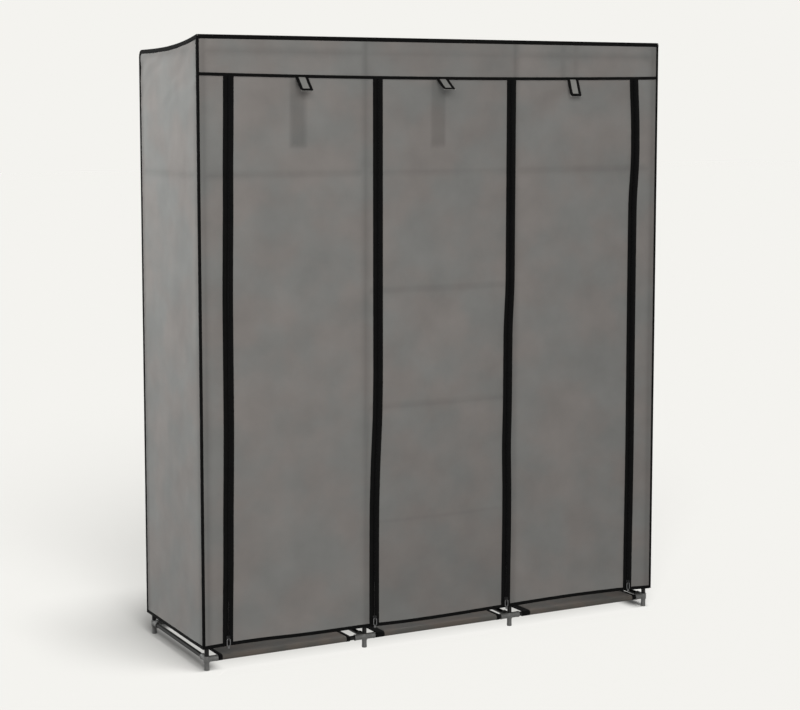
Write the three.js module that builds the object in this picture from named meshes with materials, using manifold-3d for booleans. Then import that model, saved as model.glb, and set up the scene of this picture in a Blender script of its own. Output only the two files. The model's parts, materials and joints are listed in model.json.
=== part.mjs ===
// Portable fabric wardrobe with three bays: a frame of thin steel tubes pushed
// into plastic connectors, fabric shelves on the tubes, and a sewn cover with
// three roll-up doors between four zips. Millimetres, +Z up, the front faces -Y.
// The origin is on the floor, in the middle of the box round the wardrobe and
// its tie straps.
import * as THREE from "three";
import { mergeVertices } from "three/addons/utils/BufferGeometryUtils.js";
import Module from "manifold-3d";

const wasm = await Module();
wasm.setup();

// Cover
const WIDTH = 1500;
const DEPTH = 450;
const FRONT_HEIGHT = 1750;
const FRONT_RISE = 30;
const HEM_HEIGHT = 63.5;
const FABRIC = 1.2;
const REAR_CORNER_RADIUS = 15;
const FOLD_DEPTH = 3;

// Valance above the doors, and the plain strips beside them
const VALANCE_HEIGHT = 107;
const VALANCE_SAG = 6.5;
const STRIP_WIDTH = 84;

// Doors, their zips and tie straps
const MIDDLE_DOOR_WIDTH = 438;
const HEM_TAPE_HEIGHT = 16;
const HEM_TAPE_THICKNESS = 1.6;
const HEM_TAPE_END = 4;
const ZIP_WIDTH = 28;
const ZIP_THICKNESS = 0.9;
const ZIP_SWAY = 14;
const SLIDER_WIDTH = 11;
const SLIDER_HEIGHT = 15;
const SLIDER_THICKNESS = 3;
const SLIDER_REST_HEIGHT = 88;
const CROWN_WIDTH = 2.4;
const CROWN_WALL = 1;
const PULL_BAR_RADIUS = 0.7;
const PULL_WIDTH = 7;
const PULL_LENGTH = 24;
const PULL_THICKNESS = 1.2;
const PULL_HOLE = 3.2;
const STRAP_WIDTH = 38;
const STRAP_LENGTH = 52;

// Frame tubes, and the levels that they lie at
const TUBE_RADIUS = 6.5;
const TUBE_WALL = 0.8;
const POST_INSET_X = 16;
const POST_INSET_Y = 16;
const BASE_RAIL_HEIGHT = 32;
const TOP_FRAME_DROP = 12;
const POST_FOOT_DEPTH = 5;
const CAP_DOME = 3;
const CAP_SEAT = 0.6;

// Plastic connectors
const FOOT_RADIUS = 7;
const FOOT_HEIGHT = 23;
const HUB_RADIUS = 9;
const HUB_RISE = 8.7;
const SOCKET_RADIUS = 8.5;
const SOCKET_REACH = 32;
const SOCKET_FLOOR = 11.5;
const TOP_HUB_HEIGHT = 14;

// Fabric shelves and hanging rods
const SHELF_FABRIC = 1.2;
const SLEEVE_RADIUS = 8.2;
const SHELF_END_ROOM = 46.7;
const SHELF_TACK_LAP = 2.5;
const SHELF_NOTCH = 40;
const SHELF_SIDE_MARGIN = 19;
const ROD_CLIP_RADIUS = 8.8;
const ROD_CLIP_LENGTH = 16;
const ROD_DROP = 14.3;
const ROD_OVERHANG = 6;

// Fits
const GAP = 0.3;
const BORE_CLEARANCE = 0.3;
const SLEEVE_CLEARANCE = 0.5;
const CUT = 1;

// Counts
const TUBE_SIDES = 12;
const DOOR_COLUMNS = 8;
const BACK_COLUMNS = 12;
const PANEL_ROWS = 10;
const SEAM_STEPS = 13;
const SLOPE_STEPS = 6;
const CORNER_STEPS = 4;
const DOME_STEPS = 3;
const BAY_COUNT = 3;
const LEVEL_COUNT = 6;

// How far each zip leaves its straight line: shares of the door's height, and of
// the sway, to the right
const ZIP_SWAY_SHARES = [
  [[0, -0.78], [0.2, -0.42], [0.4, -0.12], [0.6, -0.12], [0.8, 0.16], [1, 0.45]],
  [[0, -0.14], [0.2, -0.1], [0.28, 0.1], [0.36, 0.66], [0.45, 0.84], [1, 0.86]],
  [[0, 0.15], [0.21, 0.33], [0.31, 0.12], [0.4, 0.32], [0.53, 0.35], [0.6, 0.8], [1, 0.86]],
  [[0, -0.38], [0.3, -0.2], [0.6, -0.26], [0.77, -0.24], [0.87, 0.44], [0.95, 0.15], [1, -0.3]],
];

// How far each base shelf lies to the right of the middle of its bay, as a share
// of the room at its end
const BASE_SHELF_SHIFT_SHARES = [-0.06, 0.2, 0.24];

// How far each tie strap stands off the door at rest, in degrees
const STRAP_REST_ANGLES = [41, 52, 18];

const SIDES = ["left", "middle", "right"];

const halfWidth = WIDTH / 2;
const halfDepth = DEPTH / 2;
const postRow = WIDTH - 2 * POST_INSET_X;
const bayPitch = postRow / BAY_COUNT;
const postX = Array.from({ length: BAY_COUNT + 1 }, (_, index) => index * bayPitch - postRow / 2);
const postY = halfDepth - POST_INSET_Y;
const boreRadius = TUBE_RADIUS + BORE_CLEARANCE;
const inner = { x: halfWidth - FABRIC - GAP, y: halfDepth - FABRIC - GAP };
const rearHeight = FRONT_HEIGHT - FRONT_RISE;
const rearCorner = { y: halfDepth - REAR_CORNER_RADIUS, z: rearHeight - REAR_CORNER_RADIUS };
const valanceLine = FRONT_HEIGHT - VALANCE_HEIGHT;
const doorHeight = valanceLine - HEM_HEIGHT;

const finish = (color, roughness, metalness = 0) =>
  new THREE.MeshStandardMaterial({ color, roughness, metalness });
const finishes = {
  cover: finish("#76736e", 0.9),
  shelf: finish("#5a5651", 0.9),
  binding: finish("#0e0e0e", 0.85),
  steel: finish("#101010", 0.4, 0.3),
  plastic: finish("#5e5e5e", 0.5),
  metal: finish("#7a7a7a", 0.35, 0.9),
};

// Geometry helpers

function toSolid(geometry) {
  const plain = geometry.clone();
  plain.deleteAttribute("normal");
  plain.deleteAttribute("uv");
  const merged = mergeVertices(plain);
  const triVerts = new Uint32Array(merged.index.array);
  const vertProperties = merged.attributes.position.array;
  return new wasm.Manifold(new wasm.Mesh({ numProp: 3, vertProperties, triVerts }));
}

function toGeometry(solid) {
  const { vertProperties, triVerts } = solid.getMesh();
  const geometry = new THREE.BufferGeometry();
  geometry.setAttribute("position", new THREE.BufferAttribute(vertProperties, 3));
  geometry.setIndex(new THREE.BufferAttribute(triVerts, 1));
  return geometry;
}

// One solid from several, less the ones to cut away
function carve(joined, cuts = []) {
  let solid = toSolid(joined[0]);
  for (const geometry of joined.slice(1)) solid = solid.add(toSolid(geometry));
  for (const geometry of cuts) solid = solid.subtract(toSolid(geometry));
  return toGeometry(solid);
}

// Lays a geometry that runs up from the origin along the line between two points
function along(geometry, start, end) {
  const direction = end.clone().sub(start).normalize();
  const up = new THREE.Vector3(0, 0, 1);
  geometry.applyQuaternion(new THREE.Quaternion().setFromUnitVectors(up, direction));
  return geometry.translate(start.x, start.y, start.z);
}

// A round bar between two points
function bar(radius, start, end) {
  const length = start.distanceTo(end);
  const geometry = new THREE.CylinderGeometry(radius, radius, length, TUBE_SIDES);
  geometry.rotateX(Math.PI / 2).translate(0, 0, length / 2);
  return along(geometry, start, end);
}

// An open steel tube between two points
function tube(start, end) {
  const ring = new THREE.Shape().absarc(0, 0, TUBE_RADIUS, 0, 2 * Math.PI);
  ring.holes.push(new THREE.Path().absarc(0, 0, TUBE_RADIUS - TUBE_WALL, 0, 2 * Math.PI));
  const geometry = new THREE.ExtrudeGeometry(ring, {
    depth: start.distanceTo(end),
    bevelEnabled: false,
    curveSegments: TUBE_SIDES / 2,
  });
  return along(geometry, start, end);
}

// A block between two corners
function block(low, high) {
  const size = high.clone().sub(low);
  const middle = low.clone().add(high).multiplyScalar(1 / 2);
  return new THREE.BoxGeometry(...size).translate(...middle);
}

const point = (x, y, z) => new THREE.Vector3(x, y, z);

// A closed sheet of fabric: two grids of points, (column share, row share) to
// point, joined round their edges. Seen from outside, columns run to the right
// and rows run up.
function sheet(columns, rows, outer, inside) {
  const positions = [];
  const triangles = [];
  const across = columns + 1;
  const layer = across * (rows + 1);
  for (const face of [outer, inside]) {
    for (let row = 0; row <= rows; row += 1) {
      for (let column = 0; column <= columns; column += 1) {
        positions.push(...face(column / columns, row / rows));
      }
    }
  }
  const quad = (a, b, c, d) => triangles.push(a, b, c, a, c, d);
  for (let row = 0; row < rows; row += 1) {
    for (let column = 0; column < columns; column += 1) {
      const corner = row * across + column;
      quad(corner, corner + 1, corner + across + 1, corner + across);
      const back = corner + layer;
      quad(back, back + across, back + across + 1, back + 1);
    }
  }
  for (let column = 0; column < columns; column += 1) {
    const top = rows * across + column;
    quad(column, column + layer, column + 1 + layer, column + 1);
    quad(top, top + 1, top + 1 + layer, top + layer);
  }
  for (let row = 0; row < rows; row += 1) {
    const left = row * across;
    const right = left + columns;
    quad(left, left + across, left + across + layer, left + layer);
    quad(right, right + layer, right + across + layer, right + across);
  }
  const geometry = new THREE.BufferGeometry();
  geometry.setAttribute("position", new THREE.Float32BufferAttribute(positions, 3));
  geometry.setIndex(triangles);
  return geometry;
}

// The soft inward folds of a hanging panel: none at its edges, all at its middle
function fold(across, up, folds, lean) {
  const swell = Math.sin(Math.PI * across) * Math.sin(Math.PI * up);
  const ripple = (1 - Math.cos(2 * Math.PI * (folds * across + lean * up))) / 2;
  return FOLD_DEPTH * swell * ripple;
}

// Shapes that several pieces follow

// Height of the cover's top, at a share of the depth from the front
function slopeHeight(depthShare) {
  return rearHeight + FRONT_RISE * (1 - depthShare) ** 3;
}

const depthShare = (y) => (y + halfDepth) / DEPTH;

// Outline of the cover's top from front to back, as [y, z], inset by a distance
function roofOutline(inset, frontY) {
  const outline = [];
  for (let step = 0; step <= SLOPE_STEPS; step += 1) {
    const y = frontY + ((rearCorner.y - frontY) * step) / SLOPE_STEPS;
    outline.push([y, slopeHeight(depthShare(y)) - inset]);
  }
  const radius = REAR_CORNER_RADIUS - inset;
  for (let step = 1; step <= CORNER_STEPS; step += 1) {
    const angle = (Math.PI / 2) * (1 - step / CORNER_STEPS);
    outline.push([
      rearCorner.y + radius * Math.cos(angle),
      rearCorner.z + radius * Math.sin(angle),
    ]);
  }
  return outline;
}

// Lower edge of the valance, which sags between its ends
const valanceEdge = (x) => valanceLine - VALANCE_SAG * (1 - (x / halfWidth) ** 2);

// Middle of a zip, at a share of the door's height
const zipX = [
  STRIP_WIDTH - halfWidth,
  -MIDDLE_DOOR_WIDTH / 2,
  MIDDLE_DOOR_WIDTH / 2,
  halfWidth - STRIP_WIDTH,
];

function seamX(zip, up) {
  const rows = ZIP_SWAY_SHARES[zip];
  const next = Math.max(1, rows.findIndex(([share]) => share >= up));
  const [[lowShare, lowSway], [highShare, highSway]] = [rows[next - 1], rows[next]];
  const between = (up - lowShare) / (highShare - lowShare);
  const eased = (1 - Math.cos(Math.PI * between)) / 2;
  return zipX[zip] + ZIP_SWAY * (lowSway + (highSway - lowSway) * eased);
}

// Height of a point of a door, which ends just under the valance
const doorZ = (x, up) => HEM_HEIGHT + up * (valanceEdge(x) - GAP - HEM_HEIGHT);

const wardrobe = new THREE.Group();

function add(name, geometry, material, parent = wardrobe) {
  const mesh = new THREE.Mesh(geometry, material);
  mesh.name = name;
  parent.add(mesh);
  return mesh;
}

// Frame

// Post: a tube closed by a domed cap, standing in its foot connector
function addPost(name, x, y, topHeight) {
  const bottom = BASE_RAIL_HEIGHT - POST_FOOT_DEPTH;
  const boreTop = topHeight - CAP_DOME - TUBE_WALL;
  const profile = [
    new THREE.Vector2(0, boreTop),
    new THREE.Vector2(TUBE_RADIUS - TUBE_WALL, boreTop),
    new THREE.Vector2(TUBE_RADIUS - TUBE_WALL, bottom),
    new THREE.Vector2(TUBE_RADIUS, bottom),
  ];
  for (let step = 0; step <= DOME_STEPS; step += 1) {
    const angle = ((Math.PI / 2) * step) / DOME_STEPS;
    const radius = step === DOME_STEPS ? 0 : TUBE_RADIUS * Math.cos(angle);
    const height = topHeight - CAP_DOME + CAP_DOME * Math.sin(angle);
    profile.push(new THREE.Vector2(radius, height));
  }
  const geometry = new THREE.LatheGeometry(profile, TUBE_SIDES).rotateX(Math.PI / 2);
  add(name, geometry, finishes.steel).position.set(x, y, 0);
}

// Connector with its foot: a hub for the post, and a socket towards each
// neighbour, given as [x, y] directions
function addFootConnector(name, x, y, directions) {
  const axis = (height) => point(0, 0, height);
  const hubTop = BASE_RAIL_HEIGHT + HUB_RISE;
  const reach = (direction, distance) =>
    point(direction[0] * distance, direction[1] * distance, BASE_RAIL_HEIGHT);
  const solids = [
    bar(HUB_RADIUS, axis(FOOT_HEIGHT), axis(hubTop)),
    bar(FOOT_RADIUS, axis(0), axis(FOOT_HEIGHT + CUT)),
  ];
  const cuts = [bar(boreRadius, axis(BASE_RAIL_HEIGHT - POST_FOOT_DEPTH - GAP), axis(hubTop + CUT))];
  for (const direction of directions) {
    solids.push(bar(SOCKET_RADIUS, reach(direction, boreRadius), reach(direction, SOCKET_REACH)));
    const bore = bar(boreRadius, reach(direction, SOCKET_FLOOR), reach(direction, SOCKET_REACH + CUT));
    cuts.push(bore);
  }
  add(name, carve(solids, cuts), finishes.plastic).position.set(x, y, 0);
}

// The tubes of one level reach into the sockets on both sides
const tubeStart = SOCKET_FLOOR + GAP;
const railEnds = (bay, y) => [
  point(postX[bay] + tubeStart, y, BASE_RAIL_HEIGHT),
  point(postX[bay + 1] - tubeStart, y, BASE_RAIL_HEIGHT),
];

const rows = [
  { name: "front", y: -postY, inward: 1 },
  { name: "back", y: postY, inward: -1 },
];

for (const row of rows) {
  const roofZ = slopeHeight(depthShare(row.y)) - FABRIC;
  postX.forEach((x, index) => {
    const directions = [[0, row.inward]];
    if (index > 0) directions.push([-1, 0]);
    if (index < postX.length - 1) directions.push([1, 0]);
    addPost(`post_${row.name}_${index + 1}`, x, row.y, roofZ - CAP_SEAT);
    addFootConnector(`foot_connector_${row.name}_${index + 1}`, x, row.y, directions);
  });
}

SIDES.forEach((side, bay) => {
  add(`base_front_rail_${side}`, tube(...railEnds(bay, -postY)), finishes.steel);
});

postX.forEach((x, index) => {
  const start = point(x, tubeStart - postY, BASE_RAIL_HEIGHT);
  const end = point(x, postY - tubeStart, BASE_RAIL_HEIGHT);
  add(`base_side_tube_${index + 1}`, tube(start, end), finishes.steel);
});

// Levels are counted from the base: the raised shelves lie between it and the top
const topLevel = LEVEL_COUNT - 1;
const upperShelfLevel = topLevel - 1;
const topFrameZ = rearHeight - TOP_FRAME_DROP;
const levelPitch = (topFrameZ - BASE_RAIL_HEIGHT) / topLevel;
const levelZ = (level) => BASE_RAIL_HEIGHT + level * levelPitch;

// Top frame: rails and side tubes fixed in hubs that the posts pass through
{
  const z = topFrameZ;
  const solids = rows.map(({ y }) =>
    bar(TUBE_RADIUS, point(postX[0], y, z), point(postX[postX.length - 1], y, z)),
  );
  const cuts = [];
  for (const x of postX) {
    solids.push(bar(TUBE_RADIUS, point(x, -postY, z), point(x, postY, z)));
    for (const { y } of rows) {
      const half = TOP_HUB_HEIGHT / 2;
      solids.push(bar(HUB_RADIUS, point(x, y, z - half), point(x, y, z + half)));
      cuts.push(bar(boreRadius, point(x, y, z - half - CUT), point(x, y, z + half + CUT)));
    }
  }
  add("top_frame", carve(solids, cuts), finishes.steel);
}

// Shelves

// A raised shelf: a sheet tacked over two rails, and over the side tubes that
// this bay carries
function addRaisedShelf(name, bay, level, sideTubes) {
  const z = levelZ(level);
  const left = postX[bay];
  const right = postX[bay + 1];
  const railEnd = TUBE_RADIUS + GAP;
  const edge = ROD_CLIP_RADIUS + GAP;
  const low = z + TUBE_RADIUS - SHELF_FABRIC;
  const high = z + TUBE_RADIUS + GAP;
  const solids = rows.map(({ y }) =>
    bar(TUBE_RADIUS, point(left + railEnd, y, z), point(right - railEnd, y, z)),
  );
  solids.push(block(point(left + edge, -postY, low), point(right - edge, postY, high)));
  for (const x of sideTubes) {
    solids.push(bar(TUBE_RADIUS, point(x, railEnd - postY, z), point(x, postY - railEnd, z)));
    const inwards = x === left ? 1 : -1;
    const lap = [x + inwards * SHELF_TACK_LAP, x + inwards * (edge + CUT)].sort((a, b) => a - b);
    for (const { y, inward } of rows) {
      const ends = [y + inward * SHELF_SIDE_MARGIN, -inward * SHELF_NOTCH].map(Math.abs);
      const [near, far] = ends.sort((a, b) => a - b);
      const [lowY, highY] = inward > 0 ? [-far, -near] : [near, far];
      solids.push(block(point(lap[0], lowY, low), point(lap[1], highY, high)));
    }
  }
  add(name, carve(solids), finishes.shelf);
}

for (let level = 1; level < upperShelfLevel; level += 1) {
  addRaisedShelf(`middle_shelf_${level}`, 1, level, [postX[1], postX[2]]);
}
addRaisedShelf("upper_shelf_left", 0, upperShelfLevel, [postX[0]]);
addRaisedShelf("upper_shelf_middle", 1, upperShelfLevel, [postX[1], postX[2]]);
addRaisedShelf("upper_shelf_right", 2, upperShelfLevel, [postX[3]]);

// A base shelf: a sheet with a sewn sleeve round each rail. The back rail is
// joined to its sleeve.
function addBaseShelf(side, bay) {
  const shift = BASE_SHELF_SHIFT_SHARES[bay] * SHELF_END_ROOM;
  const left = postX[bay] + SHELF_END_ROOM + shift;
  const right = postX[bay + 1] - SHELF_END_ROOM + shift;
  const z = BASE_RAIL_HEIGHT;
  const high = z + SLEEVE_RADIUS;
  const sleeve = (radius, y, beyond) =>
    bar(radius, point(left - beyond, y, z), point(right + beyond, y, z));
  const solids = [
    block(point(left, -postY, high - SHELF_FABRIC), point(right, postY, high)),
    ...rows.map(({ y }) => sleeve(SLEEVE_RADIUS, y, 0)),
    bar(TUBE_RADIUS, ...railEnds(bay, postY)),
  ];
  const cuts = [sleeve(TUBE_RADIUS + SLEEVE_CLEARANCE, -postY, CUT)];
  add(`base_shelf_${side}`, carve(solids, cuts), finishes.shelf);
}
SIDES.forEach(addBaseShelf);

// Hanging rod: a bar under the upper shelf, with a clip round the side tube at
// each end
function addHangingRod(name, bay) {
  const z = levelZ(upperShelfLevel);
  const ends = [postX[bay], postX[bay + 1]];
  const half = ROD_CLIP_LENGTH / 2;
  const clip = (radius, x, beyond) =>
    bar(radius, point(x, -half - beyond, z), point(x, half + beyond, z));
  const start = point(ends[0] - ROD_OVERHANG, 0, z - ROD_DROP);
  const end = point(ends[1] + ROD_OVERHANG, 0, z - ROD_DROP);
  const solids = [bar(TUBE_RADIUS, start, end), ...ends.map((x) => clip(ROD_CLIP_RADIUS, x, 0))];
  const cuts = ends.map((x) => clip(TUBE_RADIUS + GAP, x, CUT));
  add(name, carve(solids, cuts), finishes.steel);
}
addHangingRod("hanging_rod_left", 0);
addHangingRod("hanging_rod_right", 2);

// Cover

// Side panel, seen from outside: its columns run to the right
function addSidePanel(name, sign) {
  const outline = roofOutline(0, -halfDepth);
  const columns = outline.length - 1;
  const place = (across, up, depthIn) => {
    const column = Math.round(across * columns);
    const [y, top] = outline[sign < 0 ? columns - column : column];
    const z = HEM_HEIGHT + up * (top - HEM_HEIGHT);
    const inset = depthIn + fold(depthShare(y), up, 2, 1);
    return [sign * (halfWidth - inset), y, z];
  };
  const outer = (across, up) => place(across, up, 0);
  const inside = (across, up) => place(across, up, FABRIC);
  add(name, sheet(columns, PANEL_ROWS, outer, inside), finishes.cover);
}
addSidePanel("cover_left_side", -1);
addSidePanel("cover_right_side", 1);

// Back and top, one cut: up the back, round the rear rail and down the slope to
// the front edge. Seen from behind, its columns run to the right.
{
  const roofSteps = SLOPE_STEPS + CORNER_STEPS;
  const steps = PANEL_ROWS + roofSteps;
  const on = (inset) => {
    const roof = roofOutline(inset, -inner.y).reverse();
    const [backY, backTop] = roof[0];
    return (across, up) => {
      const step = Math.round(up * steps);
      const x = inner.x * (1 - 2 * across);
      if (step > PANEL_ROWS) return [x, ...roof[step - PANEL_ROWS]];
      const backUp = step / PANEL_ROWS;
      const z = HEM_HEIGHT + backUp * (backTop - HEM_HEIGHT);
      return [x, backY - fold(across, backUp, 3, 1), z];
    };
  };
  add("cover_top_and_back", sheet(BACK_COLUMNS, steps, on(0), on(FABRIC)), finishes.cover);
}

// Front surround: the valance and the strip on each side of the doors
{
  const shape = new THREE.Shape();
  shape.moveTo(-inner.x, HEM_HEIGHT);
  for (let step = 0; step <= SEAM_STEPS; step += 1) {
    const x = seamX(0, step / SEAM_STEPS);
    shape.lineTo(x - GAP, step < SEAM_STEPS ? doorZ(x, step / SEAM_STEPS) : valanceEdge(x));
  }
  const left = seamX(0, 1);
  const right = seamX(3, 1);
  for (let step = 1; step < SEAM_STEPS; step += 1) {
    const x = left + ((right - left) * step) / SEAM_STEPS;
    shape.lineTo(x, valanceEdge(x));
  }
  for (let step = SEAM_STEPS; step >= 0; step -= 1) {
    const x = seamX(3, step / SEAM_STEPS);
    shape.lineTo(x + GAP, step < SEAM_STEPS ? doorZ(x, step / SEAM_STEPS) : valanceEdge(x));
  }
  shape.lineTo(inner.x, HEM_HEIGHT);
  shape.lineTo(inner.x, FRONT_HEIGHT);
  shape.lineTo(-inner.x, FRONT_HEIGHT);
  shape.closePath();
  const geometry = new THREE.ExtrudeGeometry(shape, { depth: FABRIC, bevelEnabled: false });
  geometry.rotateX(Math.PI / 2).translate(0, FABRIC - halfDepth, 0);
  add("cover_front_surround", geometry, finishes.cover);
}

// Doors: each hangs from the valance between two zips
SIDES.forEach((side, bay) => {
  const place = (across, up, y) => {
    const left = seamX(bay, up) + GAP;
    const right = seamX(bay + 1, up) - GAP;
    const x = left + (right - left) * across;
    return [x, y + fold(across, up, 2 + bay, 1), doorZ(x, up)];
  };
  const outer = (across, up) => place(across, up, -halfDepth);
  const inside = (across, up) => place(across, up, FABRIC - halfDepth);
  add(`door_${side}`, sheet(DOOR_COLUMNS, SEAM_STEPS, outer, inside), finishes.cover);

  const hemY = FABRIC + GAP - halfDepth;
  const low = point(seamX(bay, 0) + HEM_TAPE_END, hemY, HEM_HEIGHT);
  const high = point(
    seamX(bay + 1, 0) - HEM_TAPE_END,
    hemY + HEM_TAPE_THICKNESS,
    HEM_HEIGHT + HEM_TAPE_HEIGHT,
  );
  add(`door_hem_${side}`, block(low, high), finishes.binding);
});

// Zips: a tape over each seam, and a slider near the hem. The slider's crown is
// a bridge on its face, and the bar of the pull turns in the crown's bore.
const zipFace = -halfDepth - GAP - ZIP_THICKNESS;
const crownBore = PULL_BAR_RADIUS + GAP;
const crownRadius = crownBore + CROWN_WALL;
const pullBarY = zipFace - GAP - SLIDER_THICKNESS - crownRadius;

const sliderOutline = new THREE.Shape()
  .moveTo(-SLIDER_WIDTH / 3, -SLIDER_HEIGHT / 2)
  .lineTo(SLIDER_WIDTH / 3, -SLIDER_HEIGHT / 2)
  .lineTo(SLIDER_WIDTH / 2, SLIDER_HEIGHT / 4)
  .lineTo(SLIDER_WIDTH / 4, SLIDER_HEIGHT / 2)
  .lineTo(-SLIDER_WIDTH / 4, SLIDER_HEIGHT / 2)
  .lineTo(-SLIDER_WIDTH / 2, SLIDER_HEIGHT / 4)
  .closePath();

// A plate of the given outline, upright and facing the front
function plate(outline, thickness, frontY, z, curveSegments = CORNER_STEPS) {
  const geometry = new THREE.ExtrudeGeometry(outline, {
    depth: thickness,
    bevelEnabled: false,
    curveSegments,
  });
  return geometry.rotateX(Math.PI / 2).translate(0, frontY + thickness, z);
}

// Both are made round the middle of the pull's bar
const crosswise = (radius, half) => bar(radius, point(-half, 0, 0), point(half, 0, 0));

function sliderGeometry() {
  const half = CROWN_WIDTH / 2;
  const seat = crownRadius + SLIDER_THICKNESS / 2;
  const solids = [
    plate(sliderOutline, SLIDER_THICKNESS, crownRadius, 0),
    block(point(-half, 0, -crownRadius), point(half, seat, crownRadius)),
    crosswise(crownRadius, half),
  ];
  return carve(solids, [crosswise(crownBore, half + CUT)]);
}

// The pull's plate starts in two arms, which hold its bar on both sides of the
// crown
function pullGeometry() {
  const half = PULL_WIDTH / 2;
  const armX = CROWN_WIDTH / 2 + GAP;
  const armEnd = -crownRadius - GAP;
  const shape = new THREE.Shape()
    .moveTo(half, half - PULL_LENGTH)
    .lineTo(half, 0)
    .lineTo(armX, 0)
    .lineTo(armX, armEnd)
    .lineTo(-armX, armEnd)
    .lineTo(-armX, 0)
    .lineTo(-half, 0)
    .lineTo(-half, half - PULL_LENGTH)
    .absarc(0, half - PULL_LENGTH, half, Math.PI, 2 * Math.PI);
  const hole = new THREE.Path().absarc(0, half - PULL_LENGTH, PULL_HOLE / 2, 0, 2 * Math.PI);
  shape.holes.push(hole);
  return carve([plate(shape, PULL_THICKNESS, -PULL_THICKNESS / 2, 0), crosswise(PULL_BAR_RADIUS, half)]);
}

for (const zip of zipX.keys()) {
  const place = (across, up, y) => {
    const x = seamX(zip, up);
    return [x + ZIP_WIDTH * (across - 1 / 2), y, doorZ(x, up)];
  };
  const outer = (across, up) => place(across, up, zipFace);
  const inside = (across, up) => place(across, up, zipFace + ZIP_THICKNESS);
  add(`zip_tape_${zip + 1}`, sheet(1, SEAM_STEPS, outer, inside), finishes.binding);

  const x = seamX(zip, (SLIDER_REST_HEIGHT - HEM_HEIGHT) / doorHeight);
  const slider = add(`zip_slider_${zip + 1}`, sliderGeometry(), finishes.metal);
  const pull = add(`zip_pull_${zip + 1}`, pullGeometry(), finishes.metal);
  slider.position.set(x, pullBarY, SLIDER_REST_HEIGHT);
  pull.position.copy(slider.position);
}

// Tie straps: sewn in under the valance, and standing off their doors
const strapStandoff = FABRIC / 2 + GAP;

SIDES.forEach((side, bay) => {
  const x = (bay - 1) * (MIDDLE_DOOR_WIDTH / 2 + (zipX[3] - zipX[2]) / 2);
  const hinge = new THREE.Group();
  hinge.position.set(x, -halfDepth - strapStandoff, valanceEdge(x));
  hinge.rotation.x = -THREE.MathUtils.degToRad(STRAP_REST_ANGLES[bay]);
  wardrobe.add(hinge);
  const low = point(-STRAP_WIDTH / 2, -FABRIC / 2, -STRAP_LENGTH);
  const high = point(STRAP_WIDTH / 2, FABRIC / 2, 0);
  add(`tie_strap_${side}`, block(low, high), finishes.cover, hinge);
});

// The straps' reach in front of the cover sets the middle of the whole box
const strapReaches = STRAP_REST_ANGLES.map((degrees) => {
  const angle = THREE.MathUtils.degToRad(degrees);
  return strapStandoff + STRAP_LENGTH * Math.sin(angle) + (FABRIC / 2) * Math.cos(angle);
});
wardrobe.position.y = Math.max(...strapReaches) / 2;

export default wardrobe;
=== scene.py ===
# Portable fabric wardrobe with three bays. A frame of thin steel tubes carries
# fabric shelves and a sewn cover, whose front has three roll-up doors between
# four zips. Metres, +Z up, the front faces -Y.
import functools
import json
import math

import bmesh
import bpy
import numpy as np
from bpy.props import FloatProperty, FloatVectorProperty, PointerProperty
from mathutils import Matrix, Vector, noise

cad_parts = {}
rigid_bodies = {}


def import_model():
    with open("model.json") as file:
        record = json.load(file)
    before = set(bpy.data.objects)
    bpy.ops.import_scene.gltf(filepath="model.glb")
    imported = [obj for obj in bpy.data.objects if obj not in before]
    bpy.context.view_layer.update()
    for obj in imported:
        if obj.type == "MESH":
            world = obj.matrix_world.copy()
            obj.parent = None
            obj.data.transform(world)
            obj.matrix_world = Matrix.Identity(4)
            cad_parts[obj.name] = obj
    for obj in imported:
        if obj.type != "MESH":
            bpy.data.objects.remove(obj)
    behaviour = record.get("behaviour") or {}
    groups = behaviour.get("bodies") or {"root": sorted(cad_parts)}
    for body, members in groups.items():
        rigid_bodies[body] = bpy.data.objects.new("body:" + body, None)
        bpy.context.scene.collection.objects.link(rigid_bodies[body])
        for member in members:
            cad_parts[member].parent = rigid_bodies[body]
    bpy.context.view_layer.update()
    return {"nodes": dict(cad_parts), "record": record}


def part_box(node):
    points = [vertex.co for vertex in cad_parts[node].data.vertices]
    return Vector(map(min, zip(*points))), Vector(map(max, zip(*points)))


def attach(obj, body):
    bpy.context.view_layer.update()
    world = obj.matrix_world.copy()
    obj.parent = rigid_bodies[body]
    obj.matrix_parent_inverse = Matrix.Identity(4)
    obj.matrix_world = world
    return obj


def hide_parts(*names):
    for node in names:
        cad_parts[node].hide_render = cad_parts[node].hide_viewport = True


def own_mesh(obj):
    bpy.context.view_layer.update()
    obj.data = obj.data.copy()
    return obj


bl_info = {
    "name": "Portable fabric wardrobe",
    "version": (1, 0, 0),
    "blender": (4, 5, 0),
    "location": "3D View > Sidebar > Wardrobe",
    "description": "Dresses the frame of a fabric wardrobe: tubes, shelves, cover, zips and straps",
    "category": "Object",
}

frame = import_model()

MM = 0.001
UP = Vector((0, 0, 1))
RIGHTWARDS = Vector((1, 0, 0))
BACKWARDS = Vector((0, 1, 0))
SIDES = ("left", "middle", "right")
ROWS = ("front", "back")
POST_NUMBERS = (1, 2, 3, 4)
ZIP_NUMBERS = (1, 2, 3, 4)


# Places that the frame gives

@functools.cache
def box(node_name):
    """Corners of the box round a node of the frame."""
    low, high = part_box(node_name)
    return low.freeze(), high.freeze()


def middle(node_name):
    """Middle of that box."""
    low, high = box(node_name)
    return (low + high) / 2


POST_X = [middle(f"post_front_{number}").x for number in POST_NUMBERS]
ROW_Y = {row: middle(f"post_{row}_1").y for row in ROWS}
LEFT, FRONT, HEM = box("cover_left_side")[0]
RIGHT, BACK, TOP = box("cover_right_side")[1]
DEPTH = BACK - FRONT
BASE_LEVEL = middle("base_front_rail_left").z
TOP_LEVEL = middle("top_frame").z
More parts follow.
